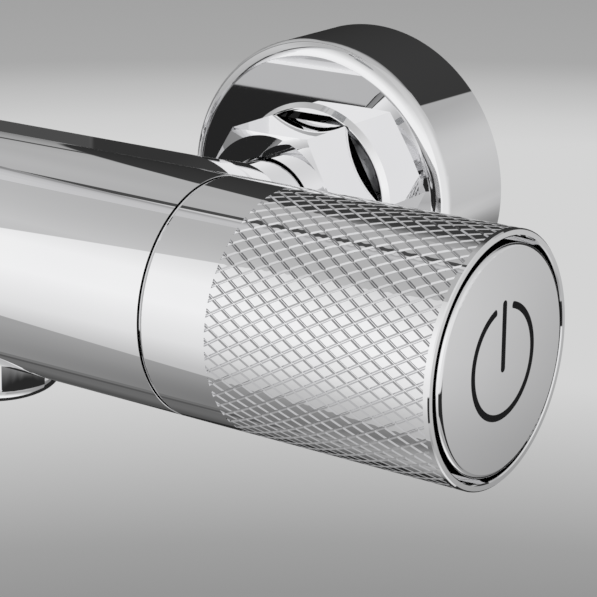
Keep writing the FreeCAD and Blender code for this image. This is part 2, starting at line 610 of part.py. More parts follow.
# Telescopic riser: foot nut, seal, lower tube, guide bush, lock nut, upper tube with its arm
def riser():
    def above(height):
        return "0", BAR_Y, height

    step = "spigot_top - riser_boss_top"
    tube_hole = "riser_radius + thread_play"
    keep(turned("foot_nut", [
        ("spigot_radius + thread_play", "0"), ("riser_nut_radius", "0"),
        ("riser_nut_radius", "riser_nut_length - riser_nut_taper"),
        ("riser_radius + 1.4", "riser_nut_length"),
        (tube_hole, "riser_nut_length"), (tube_hole, step), ("spigot_radius + thread_play", step),
    ], UP, above("riser_boss_top")), "riser_nut")
    keep(turned("foot_seal", [
        ("spigot_bore + 0.5", "0"), ("riser_radius", "0"), ("riser_radius", "seal_thick"),
        ("spigot_bore + 0.5", "seal_thick"),
    ], UP, above("spigot_top")), "riser_seal")
    rise = "riser_top - spigot_top - seal_thick"
    keep(turned("lower_tube", [
        ("riser_radius - tube_wall", "0"), ("riser_radius", "0"), ("riser_radius", rise),
        ("riser_radius - tube_wall", rise),
    ], UP, above("spigot_top + seal_thick")), "lower_riser_tube")
    keep(turned("bush", [
        ("arm_radius + fit_gap", "0"), ("riser_radius - tube_wall - fit_gap", "0"),
        ("riser_radius - tube_wall - fit_gap", "bush_length"), ("arm_radius + fit_gap", "bush_length"),
    ], UP, above("riser_top - bush_length")), "riser_guide_bush")
    keep(turned("telescope_nut", [
        (tube_hole, "0"), ("lock_radius", "0"), ("lock_radius", "lock_length - 4"),
        ("arm_radius + 1.4", "lock_length"), ("arm_radius + fit_gap", "lock_length"),
        ("arm_radius + fit_gap", "lock_cover"), (tube_hole, "lock_cover"),
    ], UP, above("riser_top - lock_cover")), "riser_lock_nut")

    def arm(name, radius):
        """The bent bar that the arm's tube is, outside or inside."""
        across = FreeCAD.Vector(1, 0, 0)
        back_turn = FreeCAD.Rotation(FreeCAD.Vector(0, 1, 0), FreeCAD.Vector(0, 0, 1), across, "XYZ")
        front_turn = FreeCAD.Rotation(FreeCAD.Vector(0, 0, 1), FreeCAD.Vector(0, -1, 0), across, "XYZ")
        foot = "(riser_top - arm_overlap)"
        pieces = [
            cylinder(name + "_rise", radius, "arm_height - back_bend - " + foot, UP, above(foot)),
            cylinder(name + "_run", radius, "arm_reach - back_bend - front_bend", FRONT,
                     ("0", BAR_Y + " - back_bend", "arm_height")),
            cylinder(name + "_drop", radius, "arm_drop", DOWN, ("0", HEAD_Y, "arm_height - front_bend")),
        ]
        for bend, turn, start in (("back_bend", back_turn, BAR_Y + " - back_bend"),
                                  ("front_bend", front_turn, HEAD_Y + " + front_bend")):
            elbow = doc.addObject("Part::Torus", name + "_" + bend)
            elbow.Angle3 = 90
            bind(elbow, Radius1=bend, Radius2=radius)
            place(elbow, turn, ("0", start, "arm_height - " + bend))
            pieces.append(elbow)
        return fuse(name, pieces)

    keep(cut("arm_tube", arm("arm_outside", "arm_radius"), [arm("arm_inside", "arm_radius - tube_wall")]),
         "upper_riser_arm")


# Wall bracket of the upper tube: clamp with post, base plate, cover and grub screw
def bracket():
    level = "(arm_height - bracket_drop)"
    solid = fuse("clamp_solid", [
        cylinder("clamp", "clamp_radius", "clamp_height", UP, ("0", BAR_Y, level + " - clamp_height / 2")),
        cylinder("post", "post_radius", "axis_depth - base_thick", BACK, ("0", BAR_Y, level)),
    ])
    grub_y = "-base_thick - base_spigot / 2 - 3"
    keep(cut("clamp_cut", solid, [
        cylinder("clamp_hole", "arm_radius + fit_gap", "clamp_height", UP,
                 ("0", BAR_Y, level + " - clamp_height / 2")),
        cylinder("post_hole", "post_bore", "base_spigot + 1", FRONT, ("0", "-base_thick", level)),
        cylinder("grub_hole", "grub_radius + fit_gap", "post_radius", DOWN, ("0", grub_y, level)),
    ]), "bracket_arm")
    pin = "post_bore - fit_gap"
    plate = turned("plate", [
        ("0", "0"), ("base_radius", "0"), ("base_radius", "base_thick"), (pin, "base_thick"),
        (pin, "base_thick + base_spigot"), ("0", "base_thick + base_spigot"),
    ], FRONT, ("0", "0", level))
    keep(cut("plate_cut", plate, [
        cylinder("screw_hole_low", "base_hole", "base_thick", FRONT,
                 ("0", "0", level + " - base_hole_spacing / 2")),
        cylinder("screw_hole_high", "base_hole", "base_thick", FRONT,
                 ("0", "0", level + " + base_hole_spacing / 2")),
    ]), "bracket_base")
    keep(turned("flange", [
        ("flange_cover - 1.2", "0"), ("flange_cover", "0"), ("flange_cover", "flange_depth - 2"),
        ("flange_cover - 2", "flange_depth"), ("post_radius + fit_gap", "flange_depth"),
        ("post_radius + fit_gap", "flange_depth - 1.2"), ("flange_cover - 2.5", "flange_depth - 1.2"),
        ("flange_cover - 1.2", "flange_depth - 2.5"),
    ], FRONT, ("0", "0", level)), "bracket_cover")
    keep(cylinder("grub", "grub_radius", "post_radius - post_bore - 0.5", UP,
                  ("0", grub_y, level + " - post_radius + 0.4")), "bracket_grub_screw")


# Slider on the lower tube, with its lock screw and pressure pad
def slider():
    low = "slider_height - slider_length / 2"
    solid = fuse("slider_solid", [
        cylinder("slider_sleeve", "slider_radius", "slider_length", UP, ("0", BAR_Y, low)),
        cylinder("slider_side", "slider_boss", "slider_boss_reach", RIGHT, ("0", BAR_Y, "slider_height")),
        block("lug", "2 * lug_half", "pivot_reach", "2 * lug_radius",
              ("-lug_half", BAR_Y + " - pivot_reach", "slider_height - lug_radius")),
        cylinder("lug_end", "lug_radius", "2 * lug_half", RIGHT,
                 ("-lug_half", BAR_Y + " - pivot_reach", "slider_height")),
    ])
    keep(cut("slider_cut", solid, [
        cylinder("slider_bore", "riser_radius + fit_gap", "slider_length", UP, ("0", BAR_Y, low)),
        cylinder("slider_screw_hole", "lock_screw + fit_gap", "slider_boss_reach", RIGHT,
                 ("0", BAR_Y, "slider_height")),
        cylinder("lug_hole", "pivot_radius + fit_gap", "2 * lug_half", RIGHT,
                 ("-lug_half", BAR_Y + " - pivot_reach", "slider_height")),
    ]), "slider_body")
    pad_start = "riser_radius + loose_gap"
    shank = "(slider_boss_reach - riser_radius - pad_length)"
    keep(turned("lock", [
        ("0", "0"), ("lock_screw", "0"), ("lock_screw", shank), ("lock_knob", shank),
        ("lock_knob", shank + " + lock_knob_length - 1.5"),
        ("lock_knob - 1.5", shank + " + lock_knob_length"),
        ("0", shank + " + lock_knob_length"),
    ], RIGHT, (pad_start + " + pad_length", BAR_Y, "slider_height")), "slider_knob")
    keep(cylinder("pad", "lock_screw - fit_gap", "pad_length", RIGHT, (pad_start, BAR_Y, "slider_height")),
         "slider_pad")


def leaning(y, z):
    """Base of a piece that leans with the cradle, y and z counted from the cradle pivot."""
    sine = "sin(cradle_tilt)"
    cosine = "cos(cradle_tilt)"
    return ("0", "-axis_depth - pivot_reach + (%s) * %s - (%s) * %s" % (y, cosine, z, sine),
            "slider_height + (%s) * %s + (%s) * %s" % (y, sine, z, cosine))


# Cradle that holds the hand shower, on its pin
def cradle():
    inside = "(lug_half + ear_gap)"
    ear_front = "(cup_reach - cup_low + 5)"
    solids = [cone("cup", "cup_low", "cup_high", "2 * cup_half", UP, ("0", "-cup_reach", "-cup_half"))]
    for name, start in (("ear_right", inside), ("ear_left", "-%s - ear_thick" % inside)):
        solids.append(block(name, "ear_thick", ear_front + " + ear_back", "2 * ear_half",
                            (start, "-" + ear_front, "-ear_half")))
    width = "2 * (lug_half + ear_gap + ear_thick)"
    item = cut("cradle_cut", fuse("cradle_solid", solids), [
        cone("cup_bore", "cup_bore_low", "cup_bore_high", "2 * cup_half", UP,
             ("0", "-cup_reach", "-cup_half")),
        block("cup_opening", "cup_slot", "cup_high + 1", "2 * cup_half",
              ("-cup_slot / 2", "-cup_reach - cup_high - 1", "-cup_half")),
        cylinder("ear_hole", "pivot_radius + fit_gap", width, RIGHT, ("-(%s) / 2" % width, "0", "0")),
    ])
    place(item, LEAN, leaning("0", "0"))
    keep(item, "handset_cradle")
    span = "(%s + pivot_head_thick)" % width
    total = span + " + pivot_head_thick"
    keep(turned("pivot", [
        ("0", "0"), ("pivot_head", "0"), ("pivot_head", "pivot_head_thick"),
        ("pivot_radius", "pivot_head_thick"),
        ("pivot_radius", span), ("pivot_head", span), ("pivot_head", total), ("0", total),
    ], RIGHT, ("-(%s) / 2 - pivot_head_thick" % width, BAR_Y + " - pivot_reach", "slider_height")),
         "cradle_pin")


# Hand shower: handle and disc in one shell, with its spray plate
def handset():
    slope = "(cup_bore_high - cup_bore_low) / (2 * cup_half)"
    middle = "(hose_thread_length + handle_foot)"
    foot_radius = "cup_bore_low - loose_gap - (handle_foot - cup_half) * " + slope
    shoulder_radius = "cup_bore_high - loose_gap + 8 * " + slope
    neck_end = middle + " + spray_height - spray_radius + 14"
    grip = turned("handset_handle", [
        ("handle_bore", "0"), ("hose_thread", "0"), ("hose_thread", "hose_thread_length"),
        (foot_radius, "hose_thread_length"), (shoulder_radius, middle + " + cup_half + 8"),
        ("handle_waist", middle + " + handle_neck - 12"), ("spray_depth / 2 - 0.3", neck_end),
        ("handle_bore", neck_end),
    ], UP, ("0", "-cup_reach", "-handle_foot - hose_thread_length"))
    back_y = "(-cup_reach + spray_depth / 2 - spray_radius * sin(spray_turn))"
    rim = "spray_radius - spray_wall"
    seat = "spray_depth - spray_plate"
    disc = turned("handset_disc", [
        ("0", "0"), ("spray_radius - 14", "0"), ("spray_radius", "8"), ("spray_radius", "spray_depth"),
        (rim, "spray_depth"), (rim, seat), ("spray_radius - 8", seat),
        ("spray_radius - 16", "spray_wall + 0.6"),
        ("0", "spray_wall + 0.6"),
    ], SPRAY_LEAN, ("0", back_y, "spray_height"))
    pocket = cylinder("handset_pocket", rim, "spray_plate + 6", SPRAY_LEAN,
                      ("0", "%s - (%s) * cos(spray_turn)" % (back_y, seat),
                       "spray_height - (%s) * sin(spray_turn)" % seat))
    item = cut("handset_cut", fuse("handset_fused", [grip, disc]), [pocket])
    place(item, LEAN, leaning("0", "0"))
    keep(item, "handset_shell")
    plate = turned("handset_plate", [
        ("0", seat), (rim + " - fit_gap", seat), (rim + " - fit_gap", "spray_depth"), ("0", "spray_depth"),
    ], LEAN.multiply(SPRAY_LEAN), leaning(back_y, "spray_height"))
    keep(plate, "handset_spray_plate")


# Head shower on its ball joint
def head_shower():
    stud_z = BALL_Z + " + ball_drop"
    sleeve_bore = "arm_radius + fit_gap"
    stud = turned("ball_sleeve", [
        (sleeve_bore, "0"), ("stud_sleeve", "0"), ("stud_sleeve", "stud_cover + 3"),
        ("ball_neck", "stud_cover + 7"), ("ball_neck", "ball_drop"), ("ball_bore", "ball_drop"),
        ("ball_bore", "stud_cover"), (sleeve_bore, "stud_cover"),
    ], DOWN, ("0", HEAD_Y, stud_z))
    ball = doc.addObject("Part::Sphere", "ball")
    bind(ball, Radius="ball_radius")
    place(ball, UP, ("0", HEAD_Y, BALL_Z))
    bore = cylinder("ball_way", "ball_bore", "2 * ball_radius + 2", DOWN,
                    ("0", HEAD_Y, BALL_Z + " + ball_radius + 1"))
    keep(cut("ball_cut", fuse("ball_solid", [stud, ball]), [bore]), "arm_ball_stud")

    keep(turned("head_nut", [
        ("ball_radius - 0.4", "0"), ("head_nut_radius", "0"), ("head_nut_radius", "head_nut_length"),
        ("ball_radius + 0.4", "head_nut_length"), ("ball_radius + 0.4", "head_lip"),
        ("ball_radius - 0.4", "head_lip"),
    ], DOWN, ("0", HEAD_Y, BALL_Z + " + head_nut_rise")), "head_ball_nut")

    top_z = BALL_Z + " - ball_radius - 1"
    shoulder = "(head_nut_length - head_nut_rise - ball_radius - 1)"
    foot = "(%s + head_dome + head_rim)" % shoulder
    rim = "head_radius - head_wall"
    seat = foot + " - head_plate - head_seal"
    keep(turned("head", [
        ("ball_bore", "0"), ("ball_radius + 0.3", "0"), ("ball_radius + 0.3", shoulder),
        ("head_nut_radius + 1", shoulder), ("head_nut_radius + 10", shoulder + " + 5"),
        ("head_radius - 3", shoulder + " + head_dome - 3"), ("head_radius", shoulder + " + head_dome"),
        ("head_radius", foot), (rim, foot), (rim, seat), ("head_radius - 9", seat),
        ("head_radius - 9", shoulder + " + head_dome - 1"),
        ("head_nut_radius + 10", shoulder + " + 5 + head_wall + 0.5"),
        ("ball_bore", shoulder + " + 5 + head_wall + 0.5"),
    ], DOWN, ("0", HEAD_Y, top_z)), "head_shell")
    keep(turned("head_gasket", [
        ("head_radius - 8.8", seat), (rim + " - fit_gap", seat),
        (rim + " - fit_gap", foot + " - head_plate"),
        ("head_radius - 8.8", foot + " - head_plate"),
    ], DOWN, ("0", HEAD_Y, top_z)), "head_seal_ring")
    keep(turned("head_disc", [
        ("0", foot + " - head_plate"), (rim + " - fit_gap", foot + " - head_plate"),
        (rim + " - fit_gap", foot),
        ("0", foot),
    ], DOWN, ("0", HEAD_Y, top_z)), "head_spray_plate")


mixer_body()
inlet("hot", "-")
inlet("cold", "")
handle("flow", "", RIGHT)
push_button()
handle("temperature", "-", LEFT)
temperature_trim()
riser()
bracket()
slider()
cradle()
handset()
head_shower()
doc.recompute()

for item in doc.Objects:
    if "Invalid" in item.State or "Error" in item.State:
        raise RuntimeError("%s did not build: %s" % (item.Label, item.State))

os.makedirs("parts", exist_ok=True)
for piece in PIECES:
    if piece.Shape.isNull() or not piece.Shape.isValid():
        raise RuntimeError("%s has no valid shape" % piece.Label)
    piece.Shape.exportStep("parts/%s.step" % piece.Label)
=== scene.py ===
"""Looks of a thermostatic shower column.

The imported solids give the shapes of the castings, tubes and turned pieces, which get their finishes here. The
knurled grips, the sign on the push button, the spray nozzles and the fine marks are modelled here.
Metres, in the frame of the solids: the wall is the plane y = 0, +X is right, +Z is up.
"""
import json
import logging
import math
from dataclasses import dataclass
from enum import Enum
from typing import Callable, Sequence

import bmesh
import bpy
from mathutils import Euler, Matrix, Vector


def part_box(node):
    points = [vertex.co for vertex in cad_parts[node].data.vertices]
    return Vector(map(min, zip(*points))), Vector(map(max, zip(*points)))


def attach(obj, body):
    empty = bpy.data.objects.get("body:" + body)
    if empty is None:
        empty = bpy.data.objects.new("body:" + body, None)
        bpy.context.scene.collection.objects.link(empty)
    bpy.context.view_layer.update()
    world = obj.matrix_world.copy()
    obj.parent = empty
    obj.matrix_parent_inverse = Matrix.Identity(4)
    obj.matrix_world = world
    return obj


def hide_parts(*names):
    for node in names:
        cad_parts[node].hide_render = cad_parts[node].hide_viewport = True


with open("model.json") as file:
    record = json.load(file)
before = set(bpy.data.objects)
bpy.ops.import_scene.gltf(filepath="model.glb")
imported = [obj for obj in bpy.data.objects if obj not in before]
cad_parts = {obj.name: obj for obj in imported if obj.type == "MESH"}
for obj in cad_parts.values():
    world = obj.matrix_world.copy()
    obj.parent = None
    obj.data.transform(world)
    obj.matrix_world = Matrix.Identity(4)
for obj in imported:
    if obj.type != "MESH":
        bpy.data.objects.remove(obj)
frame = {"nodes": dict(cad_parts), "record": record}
log = logging.getLogger("shower_column")
MM = 0.001
# Axis of the bar, and its inlets to the left and right of the middle
AXIS_Y = -84.5 * MM
INLET_X = 75.0 * MM
# Faces around a turned ring
RING_SIDES = 160
# Points closer than this are one point
WELD = 1e-6
# The same in the small marks
FINE_WELD = 1e-7
# Points this near to a plane lie in it
NEAR = 1e-5
# Part of a normal that points up on a face that looks up
LOOKS_UP = 0.9
# Edges sharper than these stay hard, degrees
HARD_RING = 8.0
HARD_KNURL = 20.0
HARD_FLAT = 30.0
HARD_NOZZLE = 40.0
# Octaves of the pattern in a finish, and the range of values that it mostly has
CLOUD_DETAIL = 4.0
CLOUD_SPAN = (0.3, 0.7)
# Colour sockets of a mix node: two inputs and the output
MIX_FIRST = 6
MIX_SECOND = 7
MIX_RESULT = 2
Colour = tuple[float, float, float]
Place = tuple[float, float, float]
Stops = Sequence[tuple[float, float]]


class Side(Enum):
    """End of the bar, with the sign of its x."""

    LEFT = -1
    RIGHT = 1


class Facing(Enum):
    """Way that the axis of a turned piece points, as angles about X, Y and Z."""

    RIGHT = (0.0, math.pi / 2, 0.0)
    LEFT = (0.0, -math.pi / 2, 0.0)
    FROM_WALL = (math.pi / 2, 0.0, 0.0)


def outward(side: Side) -> Facing:
    """Way out of the bar at one of its ends."""
    return Facing.RIGHT if side is Side.RIGHT else Facing.LEFT


def linear(value: float) -> float:
    """Linear light of a display value from 0 to 255."""
    share = value / 255.0
    return share / 12.92 if share <= 0.04045 else ((share + 0.055) / 1.055) ** 2.4


def grey(value: float) -> tuple[float, float, float, float]:
    """Opaque grey for a colour socket from linear light."""
    return (value, value, value, 1.0)


class NodeSheet:
    """A node tree under construction, with short ways to add and link nodes."""

    def __init__(self, tree: bpy.types.NodeTree) -> None:
        """Start from an empty tree.

        Args:
            tree: node tree of a material or of the world.
        """
        self.tree = tree
        tree.nodes.clear()

    def add(self, kind: str, **settings: object) -> bpy.types.Node:
        """Add a node.

        Args:
            kind: Blender's type name of the node.
            settings: properties of the node.

        Returns:
            The new node.
        """
        node = self.tree.nodes.new(kind)
        for name, value in settings.items():
            setattr(node, name, value)
        return node

    def feed(self, socket: bpy.types.NodeSocket, source: object) -> None:
        """Link an output to a socket, or set the socket to a plain value."""
        if isinstance(source, bpy.types.NodeSocket):
            self.tree.links.new(source, socket)
        else:
            socket.default_value = source

    def math(self, operation: str, first: object, second: object = 0.0) -> bpy.types.NodeSocket:
        """Value of a math node.

        Args:
            operation: name of the operation.
            first: socket or number.
            second: socket or number.

        Returns:
            Its output.
        """
        node = self.add("ShaderNodeMath", operation=operation)
        self.feed(node.inputs[0], first)
        self.feed(node.inputs[1], second)
        return node.outputs[0]

    def share(self, value: object, low: float, high: float) -> bpy.types.NodeSocket:
        """Smooth share from 0 at low to 1 at high.

        Args:
            value: socket to read.
            low: value that gives 0.
            high: value that gives 1.

        Returns:
            Its output.
        """
        node = self.add("ShaderNodeMapRange", interpolation_type="SMOOTHSTEP")
        self.feed(node.inputs["Value"], value)
        node.inputs["From Min"].default_value = low
        node.inputs["From Max"].default_value = high
        return node.outputs["Result"]

    def mix(self, factor: object, first: object, second: object) -> bpy.types.NodeSocket:
        """Colour between two colours.

        Args:
            factor: socket or number, 0 for first and 1 for second.
            first: colour socket or colour.
            second: colour socket or colour.

        Returns:
            Its output.
        """
        node = self.add("ShaderNodeMix", data_type="RGBA")
        self.feed(node.inputs["Factor"], factor)
        self.feed(node.inputs[MIX_FIRST], first)
        self.feed(node.inputs[MIX_SECOND], second)
        return node.outputs[MIX_RESULT]

    def ramp(self, position: object, stops: Stops, scale: float) -> bpy.types.NodeSocket:
        """Grey along a line of stops.

        Args:
            position: socket from 0 to 1.
            stops: pairs of place and display value.
            scale: factor on the linear light.

        Returns:
            Its output.
        """
        node = self.add("ShaderNodeValToRGB")
        row = node.color_ramp.elements
        row.remove(row[1])
        row[0].position = stops[0][0]
        row[0].color = grey(linear(stops[0][1]) * scale)
        for place, value in stops[1:]:
            row.new(place).color = grey(linear(value) * scale)
        self.feed(node.inputs["Fac"], position)
        return node.outputs["Color"]


@dataclass(frozen=True)
class Finish:
    """Surface of a piece: two close shades, a range of gloss and a fine relief.

    Attributes:
        name: name of the material.
        shade: the darker of its two shades, linear.
        tint: the lighter of its two shades, linear.
        gloss: smallest and largest roughness.
        metallic: 1 for bare or plated metal.
        grain: size of the pattern, repeats in a metre.
        relief: height of the relief in metres.
        specular: level of the shine on top of a colour that isn't metal.
    """

    name: str
    shade: Colour
    tint: Colour
    gloss: tuple[float, float]
    metallic: float
    grain: float
    relief: float
    specular: float = 0.5

    def material(self) -> bpy.types.Material:
        """Material of this finish, made once.

        Returns:
            The material.
        """
        made = bpy.data.materials.get(self.name)
        if made:
            return made
        made = bpy.data.materials.new(self.name)
        made.use_nodes = True
        sheet = NodeSheet(made.node_tree)
        place = sheet.add("ShaderNodeTexCoord")
        cloud = sheet.add("ShaderNodeTexNoise")
        cloud.inputs["Scale"].default_value = self.grain
        cloud.inputs["Detail"].default_value = CLOUD_DETAIL
        sheet.feed(cloud.inputs["Vector"], place.outputs["Object"])
        shader = sheet.add("ShaderNodeBsdfPrincipled")
        shader.inputs["Metallic"].default_value = self.metallic
        shader.inputs["Specular IOR Level"].default_value = self.specular
        sheet.feed(shader.inputs["Base Color"],
                   sheet.mix(cloud.outputs["Fac"], (*self.shade, 1.0), (*self.tint, 1.0)))
        span = sheet.add("ShaderNodeMapRange")
        sheet.feed(span.inputs["Value"], cloud.outputs["Fac"])
        span.inputs["From Min"].default_value = CLOUD_SPAN[0]
        span.inputs["From Max"].default_value = CLOUD_SPAN[1]
        span.inputs["To Min"].default_value = self.gloss[0]
        span.inputs["To Max"].default_value = self.gloss[1]
        sheet.feed(shader.inputs["Roughness"], span.outputs["Result"])
        bump = sheet.add("ShaderNodeBump")
        bump.inputs["Strength"].default_value = 1.0
        bump.inputs["Distance"].default_value = self.relief
        sheet.feed(bump.inputs["Height"], cloud.outputs["Fac"])
        sheet.feed(shader.inputs["Normal"], bump.outputs["Normal"])
        out = sheet.add("ShaderNodeOutputMaterial")
        sheet.feed(out.inputs["Surface"], shader.outputs["BSDF"])
        return made


CHROME = Finish("mirror_chrome", (0.84, 0.84, 0.85), (0.88, 0.88, 0.885), (0.004, 0.012),
                metallic=1.0, grain=40.0, relief=1.0e-7)
# Painted shade: the walls of the knurl's grooves get a darker chrome than the lands, darkest on one slant of
# grooves
DARK_GROOVE_SHADE_CHROME = Finish("painted_dark_groove_shade", (0.47, 0.47, 0.48), (0.54, 0.54, 0.55), (0.04, 0.08),
                       metallic=1.0, grain=900.0, relief=4.0e-7)
# Painted shade, less dark: the walls of the knurl's grooves on the other slant
PALE_GROOVE_SHADE_CHROME = Finish("painted_pale_groove_shade", (0.68, 0.68, 0.69), (0.76, 0.76, 0.77), (0.03, 0.06),
                    metallic=1.0, grain=900.0, relief=4.0e-7)
BRASS = Finish("turned_brass", (0.62, 0.44, 0.19), (0.72, 0.54, 0.27), (0.22, 0.36),
               metallic=1.0, grain=900.0, relief=4.0e-6)
STEEL = Finish("zinc_plated_steel", (0.50, 0.51, 0.53), (0.58, 0.59, 0.60), (0.26, 0.40),
               metallic=1.0, grain=1400.0, relief=3.0e-6)
DARK_PLASTIC = Finish("moulded_dark_plastic", (0.010, 0.010, 0.012), (0.018, 0.018, 0.020), (0.38, 0.5),
                      metallic=0.0, grain=1800.0, relief=6.0e-6)
RED_PLASTIC = Finish("moulded_red_plastic", (0.34, 0.012, 0.010), (0.40, 0.018, 0.014), (0.2, 0.3),
                     metallic=0.0, grain=700.0, relief=2.0e-6)
RUBBER = Finish("seal_rubber", (0.008, 0.008, 0.008), (0.016, 0.016, 0.016), (0.55, 0.75),
                metallic=0.0, grain=2500.0, relief=8.0e-6)
SPRAY_GREY = Finish("spray_plate_grey", (0.50, 0.51, 0.52), (0.56, 0.57, 0.58), (0.2, 0.32),
                    metallic=0.0, grain=500.0, relief=2.0e-6)
NOZZLE_GREY = Finish("nozzle_silicone", (0.16, 0.165, 0.17), (0.21, 0.215, 0.22), (0.42, 0.55),
                     metallic=0.0, grain=1500.0, relief=4.0e-6)
SIGN_BLACK = Finish("sign_black", (0.004, 0.004, 0.0045), (0.008, 0.008, 0.009), (0.45, 0.6),
                    metallic=0.0, grain=3000.0, relief=2.0e-6, specular=0.1)
FOAM = Finish("pale_foam", (0.60, 0.60, 0.61), (0.72, 0.72, 0.73), (0.7, 0.85),
              metallic=0.0, grain=2500.0, relief=2.0e-5)
FLOOR_GREY = Finish("pale_floor", (0.62, 0.62, 0.63), (0.66, 0.66, 0.67), (0.6, 0.75),
                    metallic=0.0, grain=30.0, relief=1.0e-5)
SLOT_FINISHES: dict[str, Finish] = {
    "polished_chrome": CHROME, "brass": BRASS, "zinc_steel": STEEL, "dark_plastic": DARK_PLASTIC,
    "red_plastic": RED_PLASTIC, "black_rubber": RUBBER, "grey_plate": SPRAY_GREY}
NODE_FINISHES: dict[str, Finish] = {
    "hot_cover_seal": FOAM, "cold_cover_seal": FOAM, "hot_wall_union": STEEL, "cold_wall_union": STEEL}


def start_piece(name: str) -> bpy.types.Object:
    """Name the primitive that was just added, which is the active object."""
    piece = bpy.context.active_object
    piece.name = name
    piece.data.name = name
    return piece


def clear_selection() -> None:
    """Leave object mode with nothing selected, so that the next operator acts on the new piece alone."""
    if bpy.context.active_object and bpy.context.active_object.mode != "OBJECT":
        bpy.ops.object.mode_set(mode="OBJECT")
    bpy.ops.object.select_all(action="DESELECT")


def pick(piece: bpy.types.Object, kind: str, rule: Callable[[object], bool]) -> None:
    """Select the vertices, edges or faces of a piece in edit mode that a rule chooses.

    Args:
        piece: object in edit mode.
        kind: VERT, EDGE or FACE.
        rule: says for one of them whether it is wanted.
    """
    bpy.ops.mesh.select_mode(type=kind)
    bpy.ops.mesh.select_all(action="DESELECT")
    mesh = bmesh.from_edit_mesh(piece.data)
    rows = {"VERT": mesh.verts, "EDGE": mesh.edges, "FACE": mesh.faces}[kind]
    for row in rows:
        if rule(row):
            row.select_set(True)
    mesh.select_flush_mode()
    bmesh.update_edit_mesh(piece.data)


def settle(piece: bpy.types.Object, angle: float) -> None:
    """Put the place of a piece into its mesh and smooth its faces up to an angle.

    Args:
        piece: finished object.
        angle: edges sharper than this stay hard, degrees.
    """
    clear_selection()
    piece.select_set(True)
    bpy.context.view_layer.objects.active = piece
    bpy.ops.object.transform_apply(location=True, rotation=True, scale=True)
    bpy.ops.object.shade_smooth_by_angle(angle=math.radians(angle))


def set_rings(piece: bpy.types.Object, chosen: Callable[[object], bool], radius: float,
              reach: float | None = None) -> None:
    """Bring chosen vertices of a turned piece in edit mode to a radius, and to a place along its axis.

    Args:
        piece: turned piece with its axis up.
        chosen: says for a vertex whether it moves.
        radius: distance from the axis.
        reach: distance along the axis from the piece's origin, or None to keep it.
    """
    mesh = bmesh.from_edit_mesh(piece.data)
    mesh.verts.ensure_lookup_table()
    for corner in mesh.verts:
        if chosen(corner):
            flat = Vector((corner.co.x, corner.co.y, 0.0)).normalized() * radius
            corner.co.x = flat.x
            corner.co.y = flat.y
            if reach is not None:
                corner.co.z = reach
    bmesh.update_edit_mesh(piece.data)


def turned_ring(name: str, outline: Sequence[tuple[float, float]], facing: Facing,
                place: Place) -> bpy.types.Object:
    """Ring turned from a closed outline, in its place.

    Args:
        name: name of the piece.
        outline: pairs of radius and distance along the axis.
        facing: way that the axis points.
        place: where the origin of the outline lies.

    Returns:
        The finished ring.
    """
    clear_selection()
    bpy.ops.mesh.primitive_circle_add(vertices=RING_SIDES, radius=outline[0][0])
    piece = start_piece(name)
    bpy.ops.object.mode_set(mode="EDIT")
    bpy.ops.mesh.select_all(action="SELECT")
    set_rings(piece, lambda corner: True, *outline[0])
    for radius, reach in outline[1:]:
        bpy.ops.mesh.extrude_edges_move()
        set_rings(piece, lambda corner: corner.select, radius, reach)
    pick(piece, "EDGE", lambda edge: edge.is_boundary)
    bpy.ops.mesh.bridge_edge_loops()
    bpy.ops.mesh.select_all(action="SELECT")
    bpy.ops.mesh.normals_make_consistent(inside=False)
    bpy.ops.object.mode_set(mode="OBJECT")
    piece.rotation_euler = facing.value
    piece.location = place
    settle(piece, HARD_RING)
    return piece


def flat_stroke(name: str, size: tuple[float, float], middle: tuple[float, float]) -> bpy.types.Object:
    """Flat rectangle on X and Y.

    Args:
        name: name of the piece.
        size: its length along X and along Y.
        middle: X and Y of its middle.

    Returns:
        The rectangle in edit mode.
    """
    clear_selection()
    bpy.ops.mesh.primitive_plane_add(size=1.0, location=(*middle, 0.0))
    piece = start_piece(name)
    piece.scale = (*size, 1.0)
    bpy.ops.object.transform_apply(location=True, rotation=True, scale=True)
    bpy.ops.object.mode_set(mode="EDIT")
    return piece


def thicken(piece: bpy.types.Object, corners: Callable[[object], bool], rounding: float, steps: int,
            height: float) -> None:
    """Round the corners of a flat stroke, give it its thickness and leave edit mode.

    Args:
        piece: flat stroke on its own X and Y, in edit mode.
        corners: says for a vertex whether it is one of the corners.
        rounding: how far the corners are rounded.
        steps: edges in a rounded corner.
        height: thickness.
    """
    pick(piece, "VERT", corners)
    bpy.ops.mesh.bevel(offset=rounding, segments=steps, affect="VERTICES")
    bpy.ops.mesh.select_all(action="SELECT")
    bpy.ops.mesh.extrude_region_move(TRANSFORM_OT_translate={"value": (0, 0, height)})
    bpy.ops.mesh.select_all(action="SELECT")
    bpy.ops.mesh.normals_make_consistent(inside=False)
    bpy.ops.object.mode_set(mode="OBJECT")


def join_pieces(first: bpy.types.Object, others: Sequence[bpy.types.Object]) -> None:
    """Join other pieces into the first one.

    Args:
        first: piece that stays.
        others: pieces that go into it.
    """
    clear_selection()
    for other in others:
        other.select_set(True)
    first.select_set(True)
    bpy.context.view_layer.objects.active = first
    bpy.ops.object.join()


def dress(piece: bpy.types.Object, finish: Finish, slot: str, body: str, *nodes: str) -> None:
    """Give a new piece its finish, its body and the solids that it stands for.

    Args:
        piece: finished object.
        finish: its finish.
        slot: material slot of the record, not used.
        body: body that it rides on.
        nodes: solids that it replaces.
    """
    piece.data.materials.clear()
    piece.data.materials.append(finish.material())
    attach(piece, body)
    for node in nodes:
        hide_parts(node)
    log.info("%s: %d faces, %s, on %s", piece.name, len(piece.data.polygons), finish.name, body)


